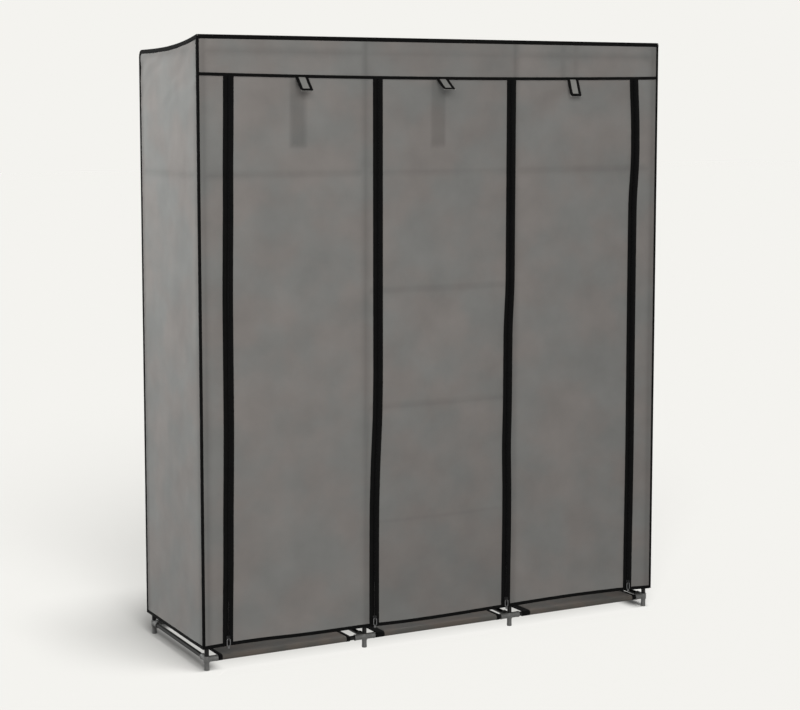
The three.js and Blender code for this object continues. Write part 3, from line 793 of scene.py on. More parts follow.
def front_sheet(left, right, bottom, top, seed):
    """A sheet of the cover's front. left and right give its edges at a height, and
    bottom and top at a place across."""
    cloth = bpy.context.scene.wardrobe_cover
    low, high = bottom(0), top(0)
    rows = spread(0, 1, cloth.spacing / (high - low))
    half_way = (low + high) / 2
    columns = spread(0, 1, cloth.spacing / (right(half_way) - left(half_way)))
    shape, points = Shape(), []
    for up in rows:
        z_guess = low + up * (high - low)
        start, end = left(z_guess), right(z_guess)
        row = []
        for share in columns:
            x = start + share * (end - start)
            z = bottom(x) + up * (top(x) - bottom(x))
            edges = [x - start, end - x, top(x) - z, z - bottom(x)]
            row.append(Vector((x, FRONT + dip(x, z, min(edges), seed, cloth), z)))
            # Painted shade of the frame and the inner straps behind the cloth
            shape.painted_shade.append(painted_shade_on_front(x, z))
        points.append(row)
    width = end - start
    shape.grid(points, lambda r, c: (left(0) + columns[c] * width, low + rows[r] * (high - low)))
    return shape


# Diagonal drags under the tops of the sides: how deep they are, how far down they
# reach, their pitch, the rise and run of their slant, and how much and over what
# distance they drift. They stay off the edges.
DRAG_DEPTH = 3 * MM
DRAG_REACH = 280 * MM
DRAG_PITCH = 58 * MM
DRAG_RISE, DRAG_RUN = 0.9, 0.4
DRAG_DRIFT = 3
DRAG_DRIFT_WIDTH = 100 * MM
DRAG_EDGE = 30 * MM


def side_sheet(side):
    """The cover's left or right side, with soft diagonal drags under its top."""
    cloth = bpy.context.scene.wardrobe_cover
    left_side = side == "left"
    face, inward = (LEFT, 1) if left_side else (RIGHT, -1)
    seed = 21 if left_side else 34
    places = spread(BACK, FRONT, cloth.spacing) if left_side else spread(FRONT, BACK, cloth.spacing)
    corner_y = BACK - cloth.corner_radius

    def top(y):
        if y <= corner_y:
            return roof_z(y)
        rounding = math.sqrt(max(0, cloth.corner_radius ** 2 - (y - corner_y) ** 2))
        return roof_z(BACK) - cloth.corner_radius + rounding

    rows = spread(0, 1, cloth.spacing / (TOP - HEM))
    shape, points = Shape(), []
    for up in rows:
        row = []
        for y in places:
            z = HEM + up * (top(y) - HEM)
            edge = min(y - FRONT, BACK - y, top(y) - z, z - HEM)
            slanted = (TOP - z) * DRAG_RISE - (y - FRONT) * DRAG_RUN
            drift = DRAG_DRIFT * waviness(y, z, DRAG_DRIFT_WIDTH, DRAG_DRIFT_WIDTH, seed)
            drag = 0.5 + 0.5 * math.sin(math.tau * slanted / DRAG_PITCH + drift)
            pulled = DRAG_DEPTH * drag * settle(edge, DRAG_EDGE) * (1 - settle(TOP - z, DRAG_REACH))
            x = face + inward * (dip(y, z, edge, seed, cloth) + pulled)
            row.append(Vector((x, y, z)))
            # Painted shade of the frame behind the cloth
            shape.painted_shade.append(painted_frame_shade(y, ROW_Y.values(), z))
        points.append(row)
    shape.grid(points, lambda r, c: (places[c], HEM + rows[r] * (TOP - HEM)))
    return shape


def strip_path(points, spacing):
    """Points about a spacing apart along a line of straight stretches."""
    path = [Vector(points[0])]
    for start, end in zip(points, points[1:]):
        count = max(1, round((Vector(end) - Vector(start)).length / spacing))
        path += [Vector(start).lerp(Vector(end), step / count) for step in range(1, count + 1)]
    return path


# Operators: one for each piece, or group of like pieces

DOME_STEP = math.pi / 12


class WARDROBE_OT_posts(bpy.types.Operator):
    """Makes the eight posts with their domed caps"""

    bl_idname = "wardrobe.posts"
    bl_label = "Posts"

    def execute(self, context):
        sizes = context.scene.wardrobe_frame
        radius, dome = sizes.tube_radius, sizes.cap_dome
        for row in ROWS:
            for number in POST_NUMBERS:
                name = f"post_{row}_{number}"
                low, high = box(name)
                tall = high.z - low.z
                rounding = [(tall - dome + dome * math.sin(angle), radius * math.cos(angle))
                            for angle in spread(0, math.pi / 2, DOME_STEP)[1:-1]]
                shape = Shape()
                shape.turn([(0, 0), (0, radius), (tall - dome, radius), *rounding, (tall, 0)],
                           (*middle(name).xy, low.z), UP)
                piece(f"steel_{name}", shape, material_for("steel"), stands_for=[name])
        return {"FINISHED"}


def tube(name, start, end, stands_for=()):
    """A steel tube between two points."""
    sizes = bpy.context.scene.wardrobe_frame
    shape = Shape()
    shape.bar(start, end, sizes.tube_radius, sizes.tube_wall / 2)
    return piece(name, shape, material_for("steel"), stands_for=stands_for)


def rail(name, side, row, level, stands_for=()):
    """A tube along a bay, which ends in the sockets at both sides."""
    sizes = bpy.context.scene.wardrobe_frame
    start, end = BAYS[side]
    reach, y, z = sizes.hub_radius, ROW_Y[row], LEVELS[level]
    return tube(name, (start + reach, y, z), (end - reach, y, z), stands_for)


def side_tube(name, post, level, stands_for=()):
    """A tube from front to back between two posts."""
    sizes = bpy.context.scene.wardrobe_frame
    reach, x, z = sizes.hub_radius, POST_X[post - 1], LEVELS[level]
    return tube(name, (x, ROW_Y["front"] + reach, z), (x, ROW_Y["back"] - reach, z), stands_for)


class WARDROBE_OT_tubes(bpy.types.Operator):
    """Makes the rails and side tubes of the base, of the raised shelves and of the top frame"""

    bl_idname = "wardrobe.tubes"
    bl_label = "Rails and side tubes"

    def execute(self, context):
        for level in range(LEVEL_COUNT):
            wide = level in WIDE_LEVELS
            for side in SIDES if wide else ("middle",):
                for row in ROWS:
                    stands_for = []
                    if level == 0 and row == "front":
                        stands_for = [f"base_front_rail_{side}"]
                    if level == TOP_RAILS:
                        stands_for = ["top_frame"]
                    rail(f"rail_{row}_{side}_level_{level}", side, row, level, stands_for)
            for post in POST_NUMBERS if wide else MIDDLE_POSTS:
                stands_for = [f"base_side_tube_{post}"] if level == 0 else []
                side_tube(f"side_tube_{post}_level_{level}", post, level, stands_for)
        return {"FINISHED"}


# A post stands this far under its base rails, and a tube stops this far outside the hub
BORE_FLOOR = 5.3 * MM
SOCKET_STOP = 2.2 * MM
# A foot is a little wider at its rim: by a share of its radius, and up to a share of
# its height. Above that it narrows, up to a second share.
FOOT_FLARE = 0.05
FOOT_RIM, FOOT_NECK = 0.25, 0.4


def connector_mesh(name, directions, has_foot):
    """A moulded connector round the origin: a hub for the post, a socket towards
    each neighbour and, at the base, a foot."""
    sizes = bpy.context.scene.wardrobe_frame
    bore = sizes.tube_radius + sizes.bore_clearance
    solid, cuts = [], []

    def turned(profile, axis, gathered):
        shape = Shape()
        shape.turn(profile, Vector(), Vector(axis))
        gathered.append(bpy.data.objects.new(name, shape.mesh(name)))
        bpy.context.scene.collection.objects.link(gathered[-1])

    rise, hub = sizes.hub_rise, sizes.hub_radius
    turned([(-rise, 0), (-rise, hub), (rise, hub), (rise, 0)], UP, solid)
    bore_floor = 2 * rise
    if has_foot:
        bore_floor = BORE_FLOOR
        bottom, edge, wide, tall = -BASE_LEVEL, sizes.edge, sizes.foot_radius, sizes.foot_height
        narrow = wide - wide * FOOT_FLARE
        turned([(bottom, 0), (bottom, wide - edge), (bottom + edge, wide), (bottom + tall * FOOT_RIM, wide),
                (bottom + tall * FOOT_NECK, narrow), (0, narrow), (0, 0)], UP, solid)
    turned([(-bore_floor, 0), (-bore_floor, bore), (2 * rise, bore), (2 * rise, 0)], UP, cuts)
    mouth, socket, stop = sizes.socket_reach, sizes.socket_radius, hub + SOCKET_STOP
    collar, collar_start = socket + sizes.collar, mouth - sizes.collar_width
    for direction in directions:
        turned([(0, 0), (0, socket), (collar_start, socket), (collar_start, collar), (mouth, collar),
                (mouth, 0)], direction, solid)
        turned([(stop, 0), (stop, bore), (2 * mouth, bore), (2 * mouth, 0)], direction, cuts)
    body = solid[0]
    for operation, others in (("UNION", solid[1:]), ("DIFFERENCE", cuts)):
        for other in others:
            join = body.modifiers.new(operation.lower(), "BOOLEAN")
            join.operation, join.solver, join.object = operation, "EXACT", other
    worked_in(body)
    rounding = body.modifiers.new("moulded edges", "BEVEL")
    rounding.width, rounding.segments = sizes.edge, 2
    rounding.limit_method, rounding.angle_limit = "ANGLE", SMOOTH_ANGLE
    mesh = worked_in(body)
    mesh.shade_smooth()
    mesh.set_sharp_from_angle(angle=SMOOTH_ANGLE)
    mesh.materials.clear()
    mesh.materials.append(material_for("plastic"))
    for scrap in solid + cuts:
        bpy.data.objects.remove(scrap)
    return mesh


class WARDROBE_OT_connectors(bpy.types.Operator):
    """Makes the plastic connectors at every level, the lowest ones with their feet"""

    bl_idname = "wardrobe.connectors"
    bl_label = "Connectors"

    def execute(self, context):
        corner, tee = [(1, 0, 0), (0, 1, 0)], [(1, 0, 0), (-1, 0, 0), (0, 1, 0)]
        meshes = {
            (kind, foot): connector_mesh(f"connector_{kind}_{'foot' if foot else 'raised'}", ways, foot)
            for kind, ways in (("corner", corner), ("tee", tee)) for foot in (True, False)}
        for level in range(LEVEL_COUNT):
            posts = POST_NUMBERS if level in WIDE_LEVELS else MIDDLE_POSTS
            for row in ROWS:
                for post in posts:
                    kind = "corner" if post in (posts[0], posts[-1]) else "tee"
                    quarters = 0 if row == "front" else 2
                    if kind == "corner" and (post == posts[-1]) == (row == "front"):
                        quarters += 1
                    link(f"connector_{row}_{post}_level_{level}", meshes[kind, level == 0],
                         material_for("plastic"),
                         stands_for=[f"foot_connector_{row}_{post}"] if level == 0 else [],
                         place=(Matrix.Translation((POST_X[post - 1], ROW_Y[row], LEVELS[level]))
                                @ Matrix.Rotation(quarters * math.pi / 2, 4, "Z")))
        return {"FINISHED"}


# How far a base shelf's cloth ends from the left and the right post's middle, and
# the width of the binding at its left end
BASE_SHELF_ENDS = {
    "left": (34 * MM, 49.5 * MM, 11 * MM),
    "middle": (36 * MM, 37.5 * MM, 26 * MM),
    "right": (43 * MM, 35.5 * MM, 26 * MM),
}
# A sleeve goes this far round the underside of its rail
SLEEVE_TUCK = math.radians(35)
SLEEVE_STEP = math.radians(15)
SHELF_SPACING = 14 * MM
SHELF_BINDING_SPACING = 5 * MM
# How broad a shelf's sag is from front to back, and the share of it that its ends keep
SAG_BREADTH = 0.8
SAG_AT_ENDS = 0.55
# Depth, width and length of the unevenness of its cloth
SHELF_WAVE_DEPTH = 0.8 * MM
SHELF_WAVE_WIDTH = 60 * MM
SHELF_WAVE_LENGTH = 90 * MM


def shelf_line(level, radius):
    """Places (y, z) of a shelf's cloth across its two rails: up round the front
    one, over, and down round the back one."""
    z, front, back = LEVELS[level], ROW_Y["front"], ROW_Y["back"]
    first = [(front - radius * math.sin(angle), z + radius * math.cos(angle))
             for angle in spread(math.pi + SLEEVE_TUCK, 0, SLEEVE_STEP)]
    last = [(back + radius * math.sin(angle), z + radius * math.cos(angle))
            for angle in spread(0, math.pi + SLEEVE_TUCK, SLEEVE_STEP)]
    flat = [(y, z + radius) for y in spread(front, back, SHELF_SPACING)[1:-1]]
    return first + flat + last


def shelf_shape(line, span, ends, level, offset, seed, spacing=SHELF_SPACING):
    """A span of a shelf's cloth or binding along its line, which sags between the
    cloth's ends and stands off it by an offset."""
    shelves = bpy.context.scene.wardrobe_shelves
    front, back = ROW_Y["front"], ROW_Y["back"]
    columns = spread(*span, spacing)
    lengths = running_lengths(line)
    shape, points = Shape(), []
    for index, (y, z) in enumerate(line):
        outward = line_normal(line, index)
        hanging = 0
        if front < y < back and z > LEVELS[level]:
            hanging = math.sin(math.pi * (y - front) / (back - front)) ** SAG_BREADTH
        row = []
        for x in columns:
            whole = (x - ends[0]) / (ends[1] - ends[0])
            drop = shelves.sag * hanging * (SAG_AT_ENDS + (1 - SAG_AT_ENDS) * math.sin(math.pi * whole))
            uneven = SHELF_WAVE_DEPTH * hanging * waviness(x, y, SHELF_WAVE_WIDTH, SHELF_WAVE_LENGTH, seed)
            row.append(Vector((x, y, z)) + outward * offset + UP * (uneven - drop))
        points.append(row)
    shape.grid(points, lambda r, c: (columns[c], lengths[r]))
    return shape


class WARDROBE_OT_shelves(bpy.types.Operator):
    """Makes the nine fabric shelves with the binding on their side edges"""

    bl_idname = "wardrobe.shelves"
    bl_label = "Fabric shelves"

    def execute(self, context):
        shelves = context.scene.wardrobe_shelves
        wanted = [(f"base_shelf_{side}", side, 0) for side in SIDES]
        wanted += [(f"middle_shelf_{level}", "middle", level) for level in range(1, UPPER_SHELF)]
        wanted += [(f"upper_shelf_{side}", side, UPPER_SHELF) for side in SIDES]
        rise = shelves.binding_rise
        for seed, (name, side, level) in enumerate(wanted):
            left_room, right_room, left_binding = shelves.end_room, shelves.end_room, shelves.binding_width
            radius = shelves.raised_sleeve_radius
            if level == 0:
                left_room, right_room, left_binding = BASE_SHELF_ENDS[side]
                radius = shelves.sleeve_radius
            left, right = BAYS[side][0] + left_room, BAYS[side][1] - right_room
            line = shelf_line(level, radius)
            cloth = piece(f"cloth_{name}", shelf_shape(line, (left, right), (left, right), level, 0, seed),
                          material_for("shelf"), stands_for=[name], solid=False)
            thicken(cloth, shelves.fabric)
            running_lengths(line)[-1]
            for end_name, span in (("left", (left - rise, left + left_binding)),
                                   ("right", (right - shelves.binding_width, right + rise))):
                shape = shelf_shape(line, span, (left, right), level, rise, seed, SHELF_BINDING_SPACING)
                bound = piece(f"binding_{name}_{end_name}", shape, material_for("tape"),
                              solid=False)
                thicken(bound, shelves.fabric + 2 * rise)
        return {"FINISHED"}


class WARDROBE_OT_rods(bpy.types.Operator):
    """Makes the two hanging rods with the clips that hold them under the side tubes"""

    bl_idname = "wardrobe.rods"
    bl_label = "Hanging rods"

    def execute(self, context):
        sizes = context.scene.wardrobe_frame
        for side in ("left", "right"):
            name = f"hanging_rod_{side}"
            low, high = box(name)
            start, end = BAYS[side]
            y, z = middle(name).y, low.z + sizes.tube_radius
            shape = Shape()
            shape.bar((start - sizes.tube_radius, y, z), (end + sizes.tube_radius, y, z), sizes.tube_radius,
                      sizes.tube_wall)
            for x in (start, end):
                inner, outer = sizes.tube_radius + sizes.bore_clearance, sizes.clip_radius
                half, edge = sizes.clip_length / 2, sizes.edge
                shape.turn([(-half + edge, inner), (-half, inner + edge), (-half, outer - edge),
                            (-half + edge, outer), (half - edge, outer), (half, outer - edge),
                            (half, inner + edge), (half - edge, inner)],
                           (x, y, LEVELS[UPPER_SHELF]), BACKWARDS)
            piece(f"steel_{name}", shape, material_for("steel"), stands_for=[name])
        return {"FINISHED"}


# The valance stops this far under the top edge, and cloth this far from a zip's middle
VALANCE_TOP = 1 * MM
SEAM_GAP = 2.5 * MM
# The back and the roof have a coarser mesh than the front, by this factor
BACK_SPACING_SHARE = 1.4
# The roof's rows lie closer together than the back's, by this factor
ROOF_ROWS_CLOSER = 3
# The roof lies freer than the back beside the rear rail, and is held at its ends over a length
ROOF_RAIL_ROOM = 20 * MM
ROOF_HELD = 100 * MM
# The roof's folds have this share of the back's depth
ROOF_FOLD_SHARE = 0.5
# Where the noise of each cloth starts, so that no two are alike
VALANCE_SEED, STRIP_SEED, BACK_SEED, DOOR_SEED = 5, 50, 61, 70


class WARDROBE_OT_cover(bpy.types.Operator):
    """Makes the cover's sides, its top and back, its valance and the strips beside the doors"""

    bl_idname = "wardrobe.cover"
    bl_label = "Cover"

    def execute(self, context):
        cloth = context.scene.wardrobe_cover
        for side in ("left", "right"):
            made = piece(f"cloth_{side}_side", side_sheet(side), material_for("cover"),
                         stands_for=[f"cover_{side}_side"], solid=False)
            thicken(made, cloth.fabric)
        self.make_top_and_back(cloth)
        low, high = box("cover_front_surround")
        valance = front_sheet(lambda z: low.x, lambda z: high.x, valance_z, lambda x: TOP - VALANCE_TOP,
                              VALANCE_SEED)
        self.front_piece("cloth_valance", valance, (high.x - low.x, TOP - valance_z(0)))
        for side, number, left, right in (
                ("left", 1, lambda z: low.x, lambda z: seam_x(1, z) - SEAM_GAP),
                ("right", 4, lambda z: seam_x(4, z) + SEAM_GAP, lambda z: high.x)):
            strip = front_sheet(left, right, hem_z, valance_z, STRIP_SEED + number)
            self.front_piece(f"cloth_{side}_strip", strip,
                             (right(TOP / 2) - left(TOP / 2), valance_z(low.x) - HEM))
        return {"FINISHED"}

    def front_piece(self, name, shape, flat):
        cloth = bpy.context.scene.wardrobe_cover
        made = piece(name, shape, material_for("cover"),
                     stands_for=["cover_front_surround"], solid=False)
        thicken(made, cloth.fabric)

    def make_top_and_back(self, cloth):
        """One cut of cloth, up the back and over the roof."""
        low, high = box("cover_top_and_back")
        spacing = cloth.spacing * BACK_SPACING_SHARE
        columns = spread(high.x, low.x, spacing)
        rear = roof_line(spacing / ROOF_ROWS_CLOSER)
        corner_z = rear[0][1]
        line = [(BACK, z) for z in spread(HEM, corner_z, spacing)[:-1]] + rear
        lengths = running_lengths(line)
        shape, points = Shape(), []
        for index, (y, z) in enumerate(line):
            inward, on_roof = line_normal(line, index), z > corner_z
            to_rail = abs(y - ROW_Y["back"]) + ROOF_RAIL_ROOM if on_roof else abs(z - TOP_LEVEL)
            held_in_front = settle(y - FRONT, ROOF_HELD) * settle(ROW_Y["back"] - y, ROOF_HELD)
            row = []
            for x in columns:
                held = min(high.x - x, x - low.x, lengths[index], lengths[-1] - lengths[index], to_rail)
                depth = dip(x, lengths[index], held, BACK_SEED, cloth)
                if on_roof:
                    bay = (x - POST_X[0]) / (POST_X[1] - POST_X[0])
                    sag = cloth.roof_sag * math.sin(math.pi * bay) ** 2 * held_in_front
                    depth = ROOF_FOLD_SHARE * depth + sag
                row.append(Vector((x, y, z)) + inward * depth)
                # Painted shade of the posts and the rails behind the cloth
                shape.painted_shade.append(painted_frame_shade(x, POST_X, 0 if on_roof else z))
            points.append(row)
        shape.grid(points, lambda r, c: (columns[c], lengths[r]))
        made = piece("cloth_top_and_back", shape, material_for("cover"),
                     stands_for=["cover_top_and_back"], solid=False)
        thicken(made, cloth.fabric)


# A door's hem and the rest of the hem end this far from a zip's middle
HEM_END = 8 * MM
# A binding on a lower edge reaches this far under its cloth
BINDING_DROP = 1 * MM


def hem_profile(cloth):
    """Section of the binding round the hem."""
    profile = rounded(cloth.fabric + 2 * cloth.binding_rise, cloth.hem_binding, cloth.binding_rise)
    return raised(profile, cloth.hem_binding / 2 - BINDING_DROP)


def gather(made, side):
    """Gives a piece a mesh of its own."""
    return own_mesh(made)


class WARDROBE_OT_doors(bpy.types.Operator):
    """Makes the three roll-up doors with their hems"""

    bl_idname = "wardrobe.doors"
    bl_label = "Doors"

    def execute(self, context):
        cloth = context.scene.wardrobe_cover
        for number, side in enumerate(SIDES, start=1):
            shape = front_sheet(
                lambda z, number=number: seam_x(number, z) + SEAM_GAP,
                lambda z, number=number: seam_x(number + 1, z) - SEAM_GAP,
                hem_z, valance_z, DOOR_SEED + number)
            door = piece(f"cloth_door_{side}", shape, material_for("cover"),
                         stands_for=[f"door_{side}"], solid=False)
            thicken(door, cloth.fabric)
            width = seam_x(number + 1, TOP / 2) - seam_x(number, TOP / 2)
            gather(door, side)
            start = seam_x(number, HEM) + HEM_END
            end = seam_x(number + 1, HEM) - HEM_END
            path = [(x, FRONT + cloth.fabric / 2, hem_z(x)) for x in spread(start, end, cloth.spacing)]
            binding = Shape()
            binding.sweep(path, hem_profile(cloth), UP)
            piece(f"binding_hem_{side}_door", binding, material_for("tape"),
                  body=f"{side}_door", stands_for=[f"door_hem_{side}"])
        return {"FINISHED"}


# How far a zip stands off the cloth with its tape, and the tape alone
ZIP_RISE = 0.8 * MM
TAPE_GAP = 0.6 * MM
# Distances between the points of the piping, of its rear corner and of the bindings
PIPING_SPACING = 20 * MM
PIPING_CORNER_SPACING = 6 * MM
VALANCE_BINDING_SPACING = 10 * MM
HEM_BINDING_SPACING = 9 * MM
# The hem turns round the corners in this radius and these steps, and keeps the
# front's wave this far along the sides
HEM_CORNER = 4 * MM
HEM_CORNER_STEPS = 4
HEM_WAVE_REACH = 100 * MM


class WARDROBE_OT_bindings(bpy.types.Operator):
    """Makes the piping on the cover's edges, and the binding on its hem and valance"""

    bl_idname = "wardrobe.bindings"
    bl_label = "Piping and bindings"

    def execute(self, context):
        cloth = context.scene.wardrobe_cover
        edge = self.square(cloth.edge_piping, cloth)
        for side, outer, inward in (("left", LEFT, 1), ("right", RIGHT, -1)):
            inset = cloth.edge_piping / 2 - cloth.piping_rise
            x = outer + inward * inset
            upright = [Vector((x, FRONT + inset, z)) for z in spread(hem_z(x), TOP - inset, PIPING_SPACING)]
            self.run(f"piping_front_{side}", upright, edge, BACKWARDS)
            inset = cloth.rear_piping / 2 - cloth.piping_rise
            x = outer + inward * inset
            rear = [Vector((x, y - inset if y > 0 else y, z - inset))
                    for y, z in roof_line(PIPING_CORNER_SPACING)]
            line = [Vector((x, BACK - inset, z)) for z in spread(HEM, rear[0].z, PIPING_SPACING)[:-1]]
            self.run(f"piping_rear_{side}", line + rear, self.square(cloth.rear_piping, cloth), RIGHTWARDS)
        inset = cloth.top_piping / 2 - cloth.piping_rise
        across = [Vector((x, FRONT + inset, TOP - inset))
                  for x in spread(LEFT + inset, RIGHT - inset, PIPING_SPACING)]
        self.run("piping_front_top", across, self.square(cloth.top_piping, cloth), UP)
        self.bind_valance(cloth)
        self.bind_hem(cloth)
        return {"FINISHED"}

    def square(self, width, cloth):
        """Section of the piping."""
        return rounded(width, width, cloth.piping_round)

    def run(self, name, path, profile, up):
        shape = Shape()
        shape.sweep(path, profile, up)
        piece(name, shape, material_for("tape"))

    def bind_valance(self, cloth):
        path = [Vector((x, FRONT + cloth.fabric / 2, valance_z(x)))
                for x in spread(LEFT + MM, RIGHT - MM, VALANCE_BINDING_SPACING)]
        # Thick enough to stand in front of the zips' tapes
        thick = cloth.fabric + 4 * cloth.binding_rise + 2 * ZIP_RISE
        profile = rounded(thick, cloth.valance_binding, cloth.binding_rise)
        self.run("binding_valance", path, raised(profile, cloth.valance_binding / 2 - BINDING_DROP), UP)

    def bind_hem(self, cloth):
        """From the left zip round the left side, the back and the right side to the right zip."""
        half, corner = cloth.fabric / 2, HEM_CORNER
        left, right, front, back = LEFT + half, RIGHT - half, FRONT + half, BACK - half
        corners = [(left, front), (left, back), (right, back), (right, front)]
        path = [Vector((x, front, 0))
                for x in spread(seam_x(1, HEM) - HEM_END, left + corner, HEM_BINDING_SPACING)]
        for index, (x, y) in enumerate(corners):
            centre = Vector((x + math.copysign(corner, -x), y + math.copysign(corner, -y), 0))
            first = (-math.pi / 2, math.pi, math.pi / 2, 0)[index]
            for step in range(1, HEM_CORNER_STEPS + 1):
                angle = first - math.pi / 2 * step / HEM_CORNER_STEPS
                path.append(centre + corner * Vector((math.cos(angle), math.sin(angle), 0)))
            if index < len(corners) - 1:
                next_x, next_y = corners[index + 1]
                away = Vector((next_x - x, next_y - y, 0)).normalized()
                end = Vector((next_x, next_y, 0)) - away * corner
                path += strip_path([path[-1], end], PIPING_SPACING)[1:]
        path += [Vector((x, front, 0))
                 for x in spread(right - corner, seam_x(4, HEM) + HEM_END, HEM_BINDING_SPACING)[1:]]
        for place in path:
            near_front = 1 - settle(place.y - FRONT, HEM_WAVE_REACH)
            place.z = HEM + near_front * (hem_z(place.x) - HEM)
        self.run("binding_hem", path, hem_profile(cloth), UP)


# A zip ends this far under the hem and under the valance's edge
ZIP_DROP = 0.5 * MM
TAPE_SPACING = 9 * MM
COIL_SIDES = 6
# Thickness of the coil on a turn and between two turns, as shares of its radius
TURN_SHARES = [1, 0.75]
# How far the middle of a coil's half lies beside the zip's middle and in front of
# the tape, as shares of its radius
COIL_BESIDE, COIL_PROUD = 0.9, 0.6


class WARDROBE_OT_zips(bpy.types.Operator):
    """Makes the two tapes and the two coil halves of each zip"""

    bl_idname = "wardrobe.zips"
    bl_label = "Zips"

    def execute(self, context):
        sizes = context.scene.wardrobe_zips
        # The doors that the left and the right half of each zip are sewn to
        doors = {1: (None, "left"), 2: ("left", "middle"), 3: ("middle", "right"), 4: ("right", None)}
        for number in ZIP_NUMBERS:
            for name, toward, door in (("left", -1, doors[number][0]), ("right", 1, doors[number][1])):
                self.make_half(sizes, number, name, toward, door)
        return {"FINISHED"}

    def make_half(self, sizes, number, name, toward, door):
        """The tape and the coil on one side of a zip's middle."""
        bottom = hem_z(seam_x(number, HEM)) - ZIP_DROP
        top = valance_z(seam_x(number, TOP)) - ZIP_DROP
        inner, outer = sizes.coil_radius, sizes.tape_width / 2
        y = FRONT - TAPE_GAP - sizes.tape / 2
        tape = Shape()
        tape.sweep([(seam_x(number, z) + toward * (inner + outer) / 2, y, z)
                    for z in spread(bottom, top, TAPE_SPACING)],
                   rounded(outer - inner, sizes.tape, sizes.tape / 3, steps=2), -BACKWARDS)
        rings = spread(bottom, top, sizes.coil_pitch / 2)
        turns = [circle(inner * share, COIL_SIDES) for share in (TURN_SHARES * len(rings))[:len(rings)]]
        coil = Shape()
        beside, y = toward * inner * COIL_BESIDE, y - sizes.tape / 2 - inner * COIL_PROUD
        coil.sweep([(seam_x(number, z) + beside, y, z) for z in rings], turns, -BACKWARDS)
        for kind, shape, stands_for in (("tape", tape, [f"zip_tape_{number}"]), ("coil", coil, [])):
            made = piece(f"zip_{number}_{name}_{kind}", shape, material_for(kind),
                         stands_for=stands_for)
            if door:
                gather(made, door)


# Edges taken off a slider's plates, its wedge, its crown and the pull
PLATE_EDGE = 0.3 * MM
WEDGE_EDGE = 0.6 * MM
CROWN_EDGE = 0.3 * MM
PULL_EDGE = 0.35 * MM
WEDGE_WIDTH = 3 * MM
# How far up from a slider's middle its wedge lies, and how tall it is, as shares of its height
WEDGE_PLACE, WEDGE_HEIGHT = 0.3, 0.3
CROWN_WIDTH = 2.4 * MM
# Half of the crown's height
CROWN_RISE = 4.5 * MM
CROWN_STEP = math.pi / 12
RING_STEP = math.pi / 10
RING_SPACING = 1.5 * MM
# The pull's ring grows from the pull's thickness to its own wire over this much under its hinge
HINGE_REACH = 2.5 * MM
# The tab's rounded end: heights over it, and how much narrower the tab is there
TAB_END = ((1.6 * MM, 0), (0.5 * MM, 1 * MM), (0, 3 * MM))
# The plate's outline from the tail upwards, as (share of half the width, share of half the height)
PLATE_SHOULDERS = ((1, 0.35), (1, 0.75), (0.7, 1), (0.2, 0.8))
PLATE_WAIST = -0.2


